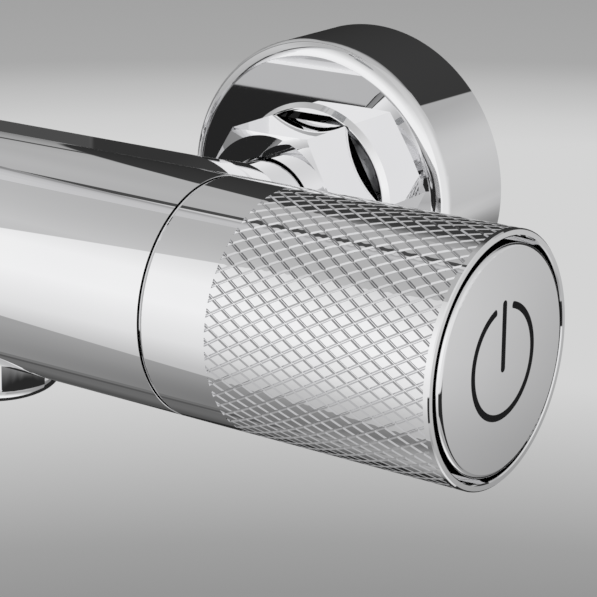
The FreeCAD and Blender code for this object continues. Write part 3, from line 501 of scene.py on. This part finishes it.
@dataclass
class Handle:
    """End handle of the bar: a sleeve with diamond knurling and a plain rim.

    Attributes:
        side: end of the bar.
        body: body that the handle turns with.
        node: solid of the sleeve.
        radius: outside of the sleeve.
        bore: inside of the sleeve.
        start: middle of the bar to the knurling.
        length: knurled length.
        rim: length of the plain rim.
        around: diamonds around the sleeve.
        rows: diamonds along the sleeve.
        bottom: flat bottom of a groove.
        wall: width of a groove's wall, seen from above.
        depth: depth of a groove.
        cuts: cuts across the top of a diamond.
        slant: slope along times slope around above which a face is a groove's wall.
        edge: broken edge of the rim.
        shift: how far the pattern is moved along the sleeve.
        twist: how far the pattern is turned about the sleeve, degrees.
    """

    side: Side
    body: str
    node: str
    radius: float = 20.5 * MM
    bore: float = 19.3 * MM
    start: float = 113.3 * MM
    length: float = 40.2 * MM
    rim: float = 1.0 * MM
    around: int = 55
    rows: int = 10
    bottom: float = 0.12 * MM
    wall: float = 0.21 * MM
    depth: float = 0.21 * MM
    cuts: int = 2
    slant: float = 0.05
    edge: float = 0.2 * MM
    shift: float = 0.0
    twist: float = 0.0

    def knurl(self, name: str) -> bpy.types.Object:
        """Knurled shell about its own middle, with its axis up.

        Args:
            name: name of the piece.

        Returns:
            The sleeve in edit mode, open at both ends.
        """
        cell = self.length / self.rows
        clear_selection()
        bpy.ops.mesh.primitive_cylinder_add(vertices=self.around, radius=self.radius, end_fill_type="NOTHING",
                                            depth=self.length + 2 * cell)
        piece = start_piece(name)
        bpy.ops.object.mode_set(mode="EDIT")
        pick(piece, "EDGE", lambda edge: abs(edge.verts[0].co.z - edge.verts[1].co.z) > cell)
        bpy.ops.mesh.subdivide(number_cuts=self.rows + 1)
        corners = len(bmesh.from_edit_mesh(piece.data).verts)
        bpy.ops.mesh.select_all(action="SELECT")
        bpy.ops.mesh.poke()
        pick(piece, "EDGE", lambda edge: not edge.is_boundary and max(v.index for v in edge.verts) < corners)
        bpy.ops.mesh.dissolve_edges(use_verts=False)
        bpy.ops.mesh.select_mode(type="FACE")
        bpy.ops.mesh.select_all(action="SELECT")
        bpy.ops.mesh.inset(thickness=self.bottom / 2, use_individual=True)
        grooves = len(bmesh.from_edit_mesh(piece.data).verts)
        bpy.ops.mesh.inset(thickness=self.wall, use_individual=True)
        bpy.ops.mesh.subdivide(number_cuts=self.cuts)
        set_rings(piece, lambda corner: corner.index < grooves, self.radius - self.depth)
        set_rings(piece, lambda corner: corner.index >= grooves, self.radius)
        bpy.ops.mesh.select_all(action="SELECT")
        bpy.ops.transform.translate(value=(0, 0, self.shift))
        for way in (-1, 1):
            bpy.ops.mesh.select_all(action="SELECT")
            bpy.ops.mesh.bisect(plane_co=(0, 0, way * self.length / 2), plane_no=(0, 0, way),
                                clear_outer=True, threshold=WELD)
        return piece

    def build(self) -> bpy.types.Object:
        """Whole sleeve in its place.

        Returns:
            The finished piece.
        """
        piece = self.knurl(self.node.replace("_grip", "_knurled_sleeve"))
        half = self.length / 2
        end = half + self.rim
        pick(piece, "EDGE", lambda edge: edge.is_boundary and all(v.co.z > half - NEAR for v in edge.verts))
        outline = ((self.radius, half), (self.radius, end - self.edge), (self.radius - self.edge, end),
                   (self.bore + self.edge, end), (self.bore, end - self.edge), (self.bore, -half))
        for radius, reach in outline:
            bpy.ops.mesh.extrude_edges_move()
            set_rings(piece, lambda corner: corner.select, radius, reach)
        pick(piece, "EDGE", lambda edge: edge.is_boundary)
        bpy.ops.mesh.bridge_edge_loops()
        bpy.ops.mesh.select_all(action="SELECT")
        bpy.ops.mesh.remove_doubles(threshold=WELD)
        bpy.ops.mesh.normals_make_consistent(inside=False)
        bpy.ops.object.mode_set(mode="OBJECT")
        turn = Euler(outward(self.side).value).to_matrix() @ Matrix.Rotation(math.radians(self.twist), 3, "Z")
        piece.rotation_euler = turn.to_euler()
        piece.location = (self.side.value * (self.start + half), AXIS_Y, 0.0)
        settle(piece, HARD_KNURL)
        dress(piece, CHROME, "polished_chrome", self.body, self.node)
        self.paint_groove_shade(piece)
        return piece

    def paint_groove_shade(self, piece: bpy.types.Object) -> None:
        """Paint shade onto the walls of the grooves: a darker, slightly rougher chrome on one slant of grooves
        and a less dark one on the other.

        Args:
            piece: finished sleeve.
        """
        # Painted shade: the groove walls get darker chromes than the lands, one per slant of the grooves
        piece.data.materials.append(DARK_GROOVE_SHADE_CHROME.material())
        piece.data.materials.append(PALE_GROOVE_SHADE_CHROME.material())
        for face in piece.data.polygons:
            out = Vector((0.0, face.center.y - AXIS_Y, face.center.z)).normalized()
            along = face.normal.x
            around = face.normal.dot(Vector((0.0, out.z, -out.y)))
            if abs(along * around) > self.slant:
                face.material_index = 1 if along * around > 0 else 2


@dataclass
class Seam:
    """Fine joint between the bar and a handle: square edge of the bar, sloping edge of the handle.

    Attributes:
        side: end of the bar.
        body: body that the handle turns with.
        reach: middle of the bar to the joint.
        radius: outside of both edges, a hair over the solids that they cover.
        inside: inside of both edges.
        bar_edge: start and end of the bar's edge along the axis, from the joint outwards.
        handle_edge: start and end of the handle's edge.
        foot: radius of the handle's edge at the joint.
    """

    side: Side
    body: str
    reach: float = 100.0 * MM
    radius: float = 20.502 * MM
    inside: float = 18.8 * MM
    bar_edge: tuple[float, float] = (-0.72 * MM, -0.20 * MM)
    handle_edge: tuple[float, float] = (0.05 * MM, 0.72 * MM)
    foot: float = 20.27 * MM

    def build(self) -> None:
        """Both edges in their places."""
        facing = outward(self.side)
        place = (self.side.value * self.reach, AXIS_Y, 0.0)
        low, high = self.bar_edge
        square = ((self.radius, low), (self.radius, high), (self.inside, high), (self.inside, low))
        bar = turned_ring("bar_edge_" + self.body, square, facing, place)
        dress(bar, CHROME, "polished_chrome", "column")
        low, high = self.handle_edge
        slope = ((self.radius, high), (self.foot, low), (self.inside, low), (self.inside, high))
        edge = turned_ring(self.body + "_edge", slope, facing, place)
        dress(edge, CHROME, "polished_chrome", self.body)


@dataclass
class UnionTrim:
    """Turned details of a wall union: the lip in the mouth of its nut, and the shoulder behind the nut.

    Attributes:
        name: start of the names of the pieces.
        x: middle of the nut.
        front: wall to the front of the nut.
        outside: outside of the lip, in the nut.
        mouth: inside of the lip, round the tail.
        edge: broken edge of the mouth.
        length: length of the lip.
        shoulder: wall to the front of the shoulder.
        shoulder_radius: outside of the shoulder, in the hole of the wall cover.
        neck: inside of the shoulder, in the union.
        thick: thickness of the shoulder.
    """

    name: str
    x: float
    front: float = 36.202 * MM
    outside: float = 11.3 * MM
    mouth: float = 10.25 * MM
    edge: float = 0.15 * MM
    length: float = 1.2 * MM
    shoulder: float = 19.9 * MM
    shoulder_radius: float = 16.9 * MM
    neck: float = 11.3 * MM
    thick: float = 1.5 * MM

    def build(self) -> None:
        """Lip and shoulder in their places."""
        lip_outline = ((self.outside, 0.0), (self.mouth + self.edge, 0.0), (self.mouth, -self.edge),
                       (self.mouth, -self.length), (self.outside, -self.length))
        lip = turned_ring(self.name + "_nut_lip", lip_outline, Facing.FROM_WALL, (self.x, -self.front, 0.0))
        dress(lip, CHROME, "polished_chrome", "column")
        rim = self.shoulder_radius
        ring_outline = ((rim, -self.edge), (rim - self.edge, 0.0), (self.neck, 0.0), (self.neck, -self.thick),
                        (rim, -self.thick))
        ring = turned_ring(self.name + "_union_shoulder", ring_outline, Facing.FROM_WALL,
                           (self.x, -self.shoulder, 0.0))
        dress(ring, CHROME, "polished_chrome", "column")


@dataclass
class SprayField:
    """Soft nozzles in rings on a spray plate, as one piece.

    Attributes:
        name: name of the piece.
        node: solid of the plate.
        body: body that the plate moves with.
        tilt: turn about X from facing up to facing where the water goes, degrees.
        rings: rings of nozzles around the middle one.
        pitch: distance from ring to ring.
        plate: thickness of the plate.
        foot: radius of a nozzle at the plate.
        tip: radius of a nozzle at its tip.
        wall: wall of a nozzle at its tip.
        rise: height of a nozzle.
        sink: part of a nozzle in the plate.
        hole: depth of the outlet in the tip.
        sides: faces around a nozzle.
        more: nozzles that each ring has more than the one inside it.
    """

    name: str
    node: str
    body: str
    tilt: float
    rings: int
    pitch: float
    plate: float = 3.0 * MM
    foot: float = 1.8 * MM
    tip: float = 1.25 * MM
    wall: float = 0.5 * MM
    rise: float = 1.5 * MM
    sink: float = 0.3 * MM
    hole: float = 0.8 * MM
    sides: int = 12
    more: int = 6

    def nozzle(self) -> bpy.types.Object:
        """One nozzle that points up: a blunt cone with its outlet sunk into the tip.

        Returns:
            The nozzle in object mode.
        """
        clear_selection()
        bpy.ops.mesh.primitive_cone_add(vertices=self.sides, radius1=self.foot, radius2=self.tip,
                                        depth=self.rise + self.sink,
                                        location=(0, 0, (self.rise - self.sink) / 2))
        piece = start_piece(self.name)
        bpy.ops.object.transform_apply(location=True, rotation=True, scale=True)
        bpy.ops.object.mode_set(mode="EDIT")
        pick(piece, "FACE", lambda face: face.normal.z > LOOKS_UP)
        bpy.ops.mesh.inset(thickness=self.wall)
        bpy.ops.mesh.extrude_region_move(TRANSFORM_OT_translate={"value": (0, 0, -self.hole)})
        bpy.ops.mesh.select_all(action="SELECT")
        bpy.ops.mesh.normals_make_consistent(inside=False)
        bpy.ops.object.mode_set(mode="OBJECT")
        return piece

    def spots(self) -> list[Vector]:
        """Places of the nozzles around the middle one, on the plate's own X and Y.

        Returns:
            Their middles, ring by ring.
        """
        rows = []
        for ring in range(1, self.rings + 1):
            for step in range(self.more * ring):
                angle = math.tau * (step + 0.5 * (ring % 2)) / (self.more * ring)
                rows.append(Vector((math.cos(angle), math.sin(angle), 0.0)) * ring * self.pitch)
        return rows

    def build(self) -> None:
        """All nozzles of the plate in their places."""
        first = self.nozzle()
        copies = []
        for spot in self.spots():
            copy = first.copy()
            copy.data = first.data.copy()
            copy.location = spot
            bpy.context.scene.collection.objects.link(copy)
            copies.append(copy)
        join_pieces(first, copies)
        low, high = (Vector(corner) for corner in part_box(self.node))
        turn = Matrix.Rotation(math.radians(self.tilt), 3, "X")
        first.rotation_euler = turn.to_euler()
        first.location = (low + high) / 2 + turn @ Vector((0.0, 0.0, self.plate / 2))
        settle(first, HARD_NOZZLE)
        dress(first, NOZZLE_GREY, "black_rubber", self.body)


@dataclass
class TemperatureScale:
    """Marks of the temperature handle, filled black: strokes and degrees on its collar, a line on the bar.

    Attributes:
        body: body that the handle turns with.
        radius: outside of the collar and of the bar.
        sink: part of the filling below the surface.
        proud: part of the filling above it.
        width: width of a stroke.
        rounding: how far its corners are rounded, as a share of the width.
        steps: edges in a rounded corner.
        stroke: start and end of the strokes along the bar.
        line: start and end of the line on the bar.
        numeral: height of the degrees.
        numeral_x: middle of the degrees along the bar.
        turns: turns of the handle that bring a stroke to the line, degrees.
        degrees: turn of the handle and what then stands at the line.
    """

    body: str = "temperature_knob"
    radius: float = 20.5 * MM
    sink: float = 0.06 * MM
    proud: float = 0.02 * MM
    width: float = 0.55 * MM
    rounding: float = 0.45
    steps: int = 4
    stroke: tuple[float, float] = (-103.4 * MM, -101.2 * MM)
    line: tuple[float, float] = (-98.6 * MM, -94.6 * MM)
    numeral: float = 4.2 * MM
    numeral_x: float = -107.9 * MM
    turns: tuple[float, ...] = (-150.0, -120.0, -90.0, -60.0, -30.0, 30.0, 60.0)
    degrees: tuple[tuple[float, str], ...] = (
        (-150.0, "20"), (-90.0, "28"), (-30.0, "35"), (30.0, "44"), (60.0, "50"))

    def wrap(self, piece: bpy.types.Object, x: float, angle: float) -> None:
        """Lay a flat mark on the bar's surface.

        Args:
            piece: mark on its own X and Y, in object mode.
            x: place of its origin along the bar.
            angle: turn about the bar from its front upwards, degrees.
        """
        for corner in piece.data.vertices:
            turn = math.radians(angle) + corner.co.y / self.radius
            reach = self.radius - self.sink + corner.co.z
            corner.co = (x + corner.co.x, AXIS_Y - reach * math.cos(turn), reach * math.sin(turn))

    def mark(self, name: str, span: tuple[float, float], angle: float) -> bpy.types.Object:
        """Stroke with rounded ends along the bar.

        Args:
            name: name of the piece.
            span: start and end along the bar.
            angle: turn about the bar from its front upwards, degrees.

        Returns:
            The stroke in its place.
        """
        piece = flat_stroke(name, (span[1] - span[0], self.width), (0.0, 0.0))
        thicken(piece, lambda corner: True, self.width * self.rounding, self.steps, self.sink + self.proud)
        self.wrap(piece, sum(span) / 2, angle)
        return piece

    def number(self, words: str, angle: float) -> bpy.types.Object:
        """Degrees on the collar.

        Args:
            words: the number.
            angle: turn about the bar from its front upwards, degrees.

        Returns:
            The number in its place.
        """
        clear_selection()
        bpy.ops.object.text_add()
        curve = bpy.context.active_object.data
        curve.body = words
        curve.size = self.numeral
        curve.align_x = "CENTER"
        curve.align_y = "CENTER"
        curve.extrude = (self.sink + self.proud) / 2
        bpy.ops.object.convert(target="MESH")
        piece = start_piece("degrees_" + words)
        bpy.ops.object.mode_set(mode="EDIT")
        bpy.ops.mesh.select_all(action="SELECT")
        bpy.ops.mesh.remove_doubles(threshold=FINE_WELD)
        bpy.ops.transform.translate(value=(0, 0, curve.extrude))
        bpy.ops.mesh.normals_make_consistent(inside=False)
        bpy.ops.object.mode_set(mode="OBJECT")
        self.wrap(piece, self.numeral_x, angle)
        return piece

    def build(self) -> None:
        """Scale on the handle and line on the bar."""
        marks = [self.mark("temperature_scale", self.stroke, turn) for turn in self.turns]
        marks += [self.number(words, turn) for turn, words in self.degrees]
        join_pieces(marks[0], marks[1:])
        settle(marks[0], HARD_FLAT)
        dress(marks[0], SIGN_BLACK, "dark_plastic", self.body)
        line = self.mark("temperature_line", self.line, 0.0)
        settle(line, HARD_FLAT)
        dress(line, SIGN_BLACK, "dark_plastic", "column")


@dataclass
class StartStopSign:
    """On and off sign, filled black, in the face of the push button.

    Attributes:
        face: middle of the bar to the face of the button.
        sink: part of the filling below the face.
        proud: part of the filling above the face.
        ring: middle line of the ring.
        stroke: width of the ring.
        gap: half of the opening at the top of the ring, degrees.
        bar_width: width of the upright stroke.
        bar_low: lower end of that stroke.
        bar_high: upper end of that stroke.
        sides: steps around the whole ring.
        rounding: how far the ends are rounded, as a share of the width.
        steps: edges in a rounded corner.
        body: body that the button moves with.
    """

    face: float = 155.0 * MM
    sink: float = 0.05 * MM
    proud: float = 0.012 * MM
    ring: float = 8.85 * MM
    stroke: float = 1.1 * MM
    gap: float = 14.0
    bar_width: float = 1.2 * MM
    bar_low: float = -1.7 * MM
    bar_high: float = 9.8 * MM
    sides: int = 144
    rounding: float = 0.495
    steps: int = 7
    body: str = "start_stop"

    def finish_stroke(self, piece: bpy.types.Object, corners: Callable[[object], bool], width: float) -> None:
        """Round the ends of a flat stroke of a width and give it its thickness."""
        thicken(piece, corners, width * self.rounding, self.steps, self.sink + self.proud)

    def ring_piece(self) -> bpy.types.Object:
        """Open ring, flat on its own X and Y with its opening towards +Y.

        Returns:
            The ring in object mode.
        """
        clear_selection()
        bpy.ops.mesh.primitive_circle_add(vertices=self.sides, radius=self.ring - self.stroke / 2)
        piece = start_piece("start_stop_sign")
        bpy.ops.object.mode_set(mode="EDIT")
        bpy.ops.mesh.select_all(action="SELECT")
        bpy.ops.mesh.extrude_edges_move()
        scale = (self.ring + self.stroke / 2) / (self.ring - self.stroke / 2)
        bpy.ops.transform.resize(value=(scale, scale, 1.0), center_override=(0, 0, 0))

        def in_gap(face: bmesh.types.BMFace) -> bool:
            """Whether a face of the ring lies in its opening."""
            middle = face.calc_center_median()
            return abs(math.degrees(math.atan2(middle.x, middle.y))) < self.gap

        pick(piece, "FACE", in_gap)
        bpy.ops.mesh.delete(type="FACE")
        self.finish_stroke(piece, lambda corner: len(corner.link_faces) == 1, self.stroke)
        return piece

    def bar_piece(self) -> bpy.types.Object:
        """Upright stroke, flat on its own X and Y.

        Returns:
            The stroke in object mode.
        """
        piece = flat_stroke("start_stop_sign_bar", (self.bar_width, self.bar_high - self.bar_low),
                            (0.0, (self.bar_low + self.bar_high) / 2))
        self.finish_stroke(piece, lambda corner: True, self.bar_width)
        return piece

    def build(self) -> bpy.types.Object:
        """Both strokes as one piece in the button's face.

        Returns:
            The finished piece.
        """
        ring = self.ring_piece()
        bar = self.bar_piece()
        join_pieces(ring, [bar])
        turn = Matrix(((0, 0, 1), (1, 0, 0), (0, 1, 0)))
        ring.matrix_world = Matrix.Translation((self.face - self.sink, AXIS_Y, 0.0)) @ turn.to_4x4()
        settle(ring, HARD_FLAT)
        dress(ring, SIGN_BLACK, "dark_plastic", self.body)
        return ring


@dataclass(frozen=True)
class Panel:
    """Upright panel of the studio, as the chrome shows it.

    Attributes:
        start: azimuth where it begins, degrees to the left of straight away from the wall.
        heights: pairs of elevation and display value.
        soft: width of the passage from the panel before it, degrees.
        lean: how far the edge goes to the right for each degree of elevation.
        bow: how far the edge goes to the right with the square of the elevation.
    """

    start: float
    heights: Stops
    soft: float = 0.35
    lean: float = 0.0
    bow: float = 0.0


@dataclass(frozen=True)
class Card:
    """Small card in front of the panels, as the chrome shows it.

    Attributes:
        right: azimuth of its right edge, degrees.
        left: azimuth of its left edge.
        low: elevation of its lower edge.
        high: elevation of its upper edge.
        value: display value.
        soft: softness of its edges.
        lean: fall of its lower edge for each degree to the left of its right edge.
    """

    right: float
    left: float
    low: float
    high: float
    value: float
    soft: float = 0.2
    lean: float = 0.0


DARK_BACK = ((-90, 40), (-20, 36), (39, 58), (46, 150), (54, 176), (90, 185))
PANELS: tuple[Panel, ...] = (
    Panel(-180.0, DARK_BACK),
    Panel(-161.3, ((-90, 235), (-72, 235), (-55, 150), (-30, 122), (-24, 130), (-20, 165), (-16.5, 178),
                   (0, 192), (14, 194), (26, 169), (90, 190)), soft=0.6),
    Panel(-150.5, ((-90, 235), (-72, 235), (-55, 160), (-30, 140), (-24, 158), (-22, 174), (-20, 200),
                   (-18, 205), (-12, 188), (8, 198), (20, 193), (90, 195)), soft=6.0),
    Panel(-118.0, ((-90, 235), (-72, 235), (-50, 150), (-15, 224), (30, 222), (50, 205), (90, 190)),
          soft=46.0),
    Panel(-61.0, ((-90, 235), (-72, 235), (-50, 180), (-38, 192), (-22, 222), (4, 239), (24, 237), (44, 217),
                  (60, 192), (90, 185)), soft=5.0),
    Panel(50.82, ((-90, 235), (-72, 235), (-57, 114), (-46, 145), (-37, 159), (0, 172), (36, 195), (53, 177),
                  (90, 172)), lean=0.0257),
    Panel(98.5, ((-90, 235), (-72, 235), (-55, 106), (45, 198), (90, 198))),
    Panel(103.8, ((-90, 235), (-72, 235), (-55, 84), (45, 70), (90, 70))),
    Panel(108.0, ((-90, 235), (-72, 235), (-52, 101), (-44, 105), (-34.7, 86), (-20, 90), (-5, 124), (4, 152),
                  (32, 183), (49, 174), (90, 172))),
    Panel(124.0, ((-90, 235), (-72, 235), (-52, 97), (-36, 75), (-32, 76), (-24, 100), (-8, 121), (16, 165),
                  (24, 171), (90, 172)), soft=14.0),
    Panel(139.2, DARK_BACK, bow=0.0036),
)
CARDS: tuple[Card, ...] = (
    Card(-142.0, -52.0, -36.0, -19.5, 40, soft=1.5),
    Card(125.0, 138.65, 12.2, 14.8, 73),
    Card(138.4, 152.0, -11.35, -8.9, 190, soft=0.04, lean=0.16),
)


@dataclass(frozen=True)
class Lamp:
    """Soft square lamp.

    Attributes:
        name: name of the lamp.
        place: where it stands.
        size: width of its square.
        power: watts.
    """

    name: str
    place: Place
    size: float
    power: float


LAMPS: tuple[Lamp, ...] = (
    Lamp("key_lamp", (0.9, -1.6, 1.5), size=1.4, power=22.0),
    Lamp("fill_lamp", (-1.5, -0.9, 0.7), size=1.2, power=10.0),
)


@dataclass
class Studio:
    """Soft studio around the object: backdrop, reflecting panels, lamps and floor.

    Attributes:
        reflectance: share of light that the chrome gives back.
        floor_drop: origin to the floor.
        floor_radius: radius of the floor.
        floor_y: wall to the middle of the floor.
        floor_sides: steps around the floor.
        floor_border: border of the floor, as a share of its radius.
        even: light of the world on all that isn't a mirror, linear.
        aim: point that the lamps look at.
        backdrop: pairs of elevation and display value behind the object.
    """

    reflectance: float = 0.86
    floor_drop: float = 1.0
    floor_radius: float = 0.65
    floor_y: float = -0.2
    floor_sides: int = 96
    floor_border: float = 0.1
    even: float = 0.62
    aim: Place = (0.0, -0.1, 0.4)
    backdrop: Stops = ((-26.0, 150), (-24.6, 160), (-20.2, 212), (-13.6, 212), (-12.9, 205), (-12.0, 187),
                       (-11.4, 169), (-9.0, 160), (0.0, 185), (30.0, 200))

    def by_height(self, sheet: NodeSheet, elevation: bpy.types.NodeSocket, stops: Stops,
                  scale: float) -> bpy.types.NodeSocket:
        """Grey that changes with elevation.

        Args:
            sheet: node tree of the world.
            elevation: degrees above the horizon.
            stops: pairs of elevation and display value.
            scale: factor on the linear light.

        Returns:
            Its output.
        """
        low = stops[0][0]
        span = stops[-1][0] - low
        place = sheet.math("DIVIDE", sheet.math("SUBTRACT", elevation, low), span)
        return sheet.ramp(place, [((angle - low) / span, value) for angle, value in stops], scale)

    def in_card(self, sheet: NodeSheet, azimuth: bpy.types.NodeSocket, elevation: bpy.types.NodeSocket,
                card: Card) -> bpy.types.NodeSocket:
        """Share of a card at a direction.

        Args:
            sheet: node tree of the world.
            azimuth: degrees to the left of straight away from the wall.
            elevation: degrees above the horizon.
            card: the card.

        Returns:
            Socket that is 1 inside the card and 0 outside it.
        """
        half = card.soft / 2
        fall = sheet.math("MULTIPLY", sheet.math("SUBTRACT", azimuth, card.right), card.lean)
        level = sheet.math("ADD", elevation, fall)
        across = sheet.math("MULTIPLY", sheet.share(azimuth, card.right - half, card.right + half),
                            sheet.share(azimuth, card.left + half, card.left - half))
        along = sheet.math("MULTIPLY", sheet.share(level, card.low - half, card.low + half),
                           sheet.share(elevation, card.high + half, card.high - half))
        return sheet.math("MULTIPLY", across, along)

    def world(self) -> None:
        """Backdrop for the camera, panels for reflections, and an even light for everything else."""
        world = bpy.data.worlds.new("studio")
        bpy.context.scene.world = world
        world.use_nodes = True
        world.cycles.sampling_method = "NONE"
        sheet = NodeSheet(world.node_tree)
        way = sheet.add("ShaderNodeTexCoord").outputs["Generated"]
        parts = sheet.add("ShaderNodeSeparateXYZ")
        sheet.feed(parts.inputs[0], way)
        east, north, rise = parts.outputs
        turn = sheet.math("ARCTAN2", sheet.math("MULTIPLY", east, -1.0), sheet.math("MULTIPLY", north, -1.0))
        azimuth = sheet.math("MULTIPLY", turn, math.degrees(1.0))
        elevation = sheet.math("MULTIPLY", sheet.math("ARCSINE", rise), math.degrees(1.0))
        scale = 1.0 / self.reflectance
        shown = self.by_height(sheet, elevation, PANELS[0].heights, scale)
        square = sheet.math("MULTIPLY", elevation, elevation)
        for panel in PANELS[1:]:
            edge = sheet.math("ADD", azimuth, sheet.math("MULTIPLY", elevation, panel.lean))
            edge = sheet.math("ADD", edge, sheet.math("MULTIPLY", square, panel.bow))
            inside = sheet.share(edge, panel.start - panel.soft / 2, panel.start + panel.soft / 2)
            shown = sheet.mix(inside, shown, self.by_height(sheet, elevation, panel.heights, scale))
        for card in CARDS:
            inside = self.in_card(sheet, azimuth, elevation, card)
            shown = sheet.mix(inside, shown, grey(linear(card.value) * scale))
        rays = sheet.add("ShaderNodeLightPath")
        mirrored = sheet.math("MAXIMUM", rays.outputs["Is Glossy Ray"], rays.outputs["Is Transmission Ray"])
        colour = sheet.mix(mirrored, grey(self.even), shown)
        behind = self.by_height(sheet, elevation, self.backdrop, 1.0)
        colour = sheet.mix(rays.outputs["Is Camera Ray"], colour, behind)
        shader = sheet.add("ShaderNodeBackground")
        sheet.feed(shader.inputs["Color"], colour)
        out = sheet.add("ShaderNodeOutputWorld")
        sheet.feed(out.inputs["Surface"], shader.outputs["Background"])

    def hang(self, lamp: Lamp) -> None:
        """Put up a lamp that looks at the column and doesn't show in the chrome.

        Args:
            lamp: the lamp.
        """
        data = bpy.data.lights.new(lamp.name, "AREA")
        data.size = lamp.size
        data.energy = lamp.power
        piece = bpy.data.objects.new(lamp.name, data)
        bpy.context.scene.collection.objects.link(piece)
        piece.location = lamp.place
        piece.rotation_euler = (Vector(self.aim) - Vector(lamp.place)).to_track_quat("-Z", "Y").to_euler()
        piece.visible_glossy = False
        piece.visible_camera = False

    def floor(self) -> None:
        """Pale round floor under the column."""
        clear_selection()
        bpy.ops.mesh.primitive_circle_add(vertices=self.floor_sides, radius=self.floor_radius,
                                          fill_type="NGON", location=(0.0, self.floor_y, -self.floor_drop))
        floor = start_piece("floor")
        bpy.ops.object.mode_set(mode="EDIT")
        bpy.ops.mesh.inset(thickness=self.floor_radius * self.floor_border)
        bpy.ops.object.mode_set(mode="OBJECT")
        settle(floor, HARD_FLAT)
        floor.data.materials.append(FLOOR_GREY.material())
        floor.visible_glossy = False

    def build(self) -> None:
        """Whole studio."""
        self.world()
        for lamp in LAMPS:
            self.hang(lamp)
        self.floor()
        view = bpy.context.scene.view_settings
        view.view_transform = "Standard"
        log.info("studio ready")


@dataclass
class PhotoCamera:
    """Camera where the photograph was taken.

    Attributes:
        place: position in metres.
        yaw: turn to the left of straight at the wall, degrees.
        pitch: look down, degrees.
        roll: turn about the line of sight, degrees.
        focal: focal length in image widths.
        sensor: width of the sensor in millimetres.
        clip: nearest and furthest distance that is seen.
    """

    place: Place = (0.30185, -0.34398, 0.10611)
    yaw: float = 35.50
    pitch: float = 17.95
    roll: float = 0.10
    focal: float = 2071.0 / 597.0
    sensor: float = 36.0
    clip: tuple[float, float] = (0.01, 50.0)

    def build(self) -> None:
        """Create the camera and make it the scene's."""
        data = bpy.data.cameras.new("photo_camera")
        data.sensor_width = self.sensor
        data.lens = self.sensor * self.focal
        data.clip_start, data.clip_end = self.clip
        camera = bpy.data.objects.new("photo_camera", data)
        bpy.context.scene.collection.objects.link(camera)
        turn = (Matrix.Rotation(math.radians(self.yaw), 4, "Z")
                @ Matrix.Rotation(math.radians(90.0 - self.pitch), 4, "X")
                @ Matrix.Rotation(math.radians(self.roll), 4, "Z"))
        camera.matrix_world = Matrix.Translation(self.place) @ turn
        bpy.context.scene.camera = camera


def finish_solids() -> None:
    """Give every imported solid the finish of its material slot, or one of its own."""
    slots = {row["node"]: row["material_slot"] for row in frame["record"]["subparts"]}
    for node, solid in frame["nodes"].items():
        solid.data.materials.clear()
        finish = NODE_FINISHES.get(node, SLOT_FINISHES[slots[node]])
        solid.data.materials.append(finish.material())
        log.info("%s: %s", node, finish.name)


def main() -> None:
    """Build every piece in order."""
    logging.basicConfig(level=logging.INFO, format="%(name)s: %(message)s")
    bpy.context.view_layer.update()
    finish_solids()
    Handle(Side.RIGHT, "flow_knob", "flow_knob_grip", shift=0.78 * MM, twist=2.08).build()
    Handle(Side.LEFT, "temperature_knob", "temperature_knob_grip").build()
    StartStopSign().build()
    Seam(Side.RIGHT, "flow_knob").build()
    Seam(Side.LEFT, "temperature_knob").build()
    UnionTrim("cold", INLET_X).build()
    UnionTrim("hot", -INLET_X).build()
    SprayField("head_nozzles", "head_spray_plate", "head", tilt=180.0, rings=9, pitch=11.4 * MM).build()
    SprayField("handset_nozzles", "handset_spray_plate", "handset", tilt=124.0, rings=5,
               pitch=8.8 * MM).build()
    TemperatureScale().build()
    Studio().build()
    PhotoCamera().build()


if __name__ == "__main__":
    main()
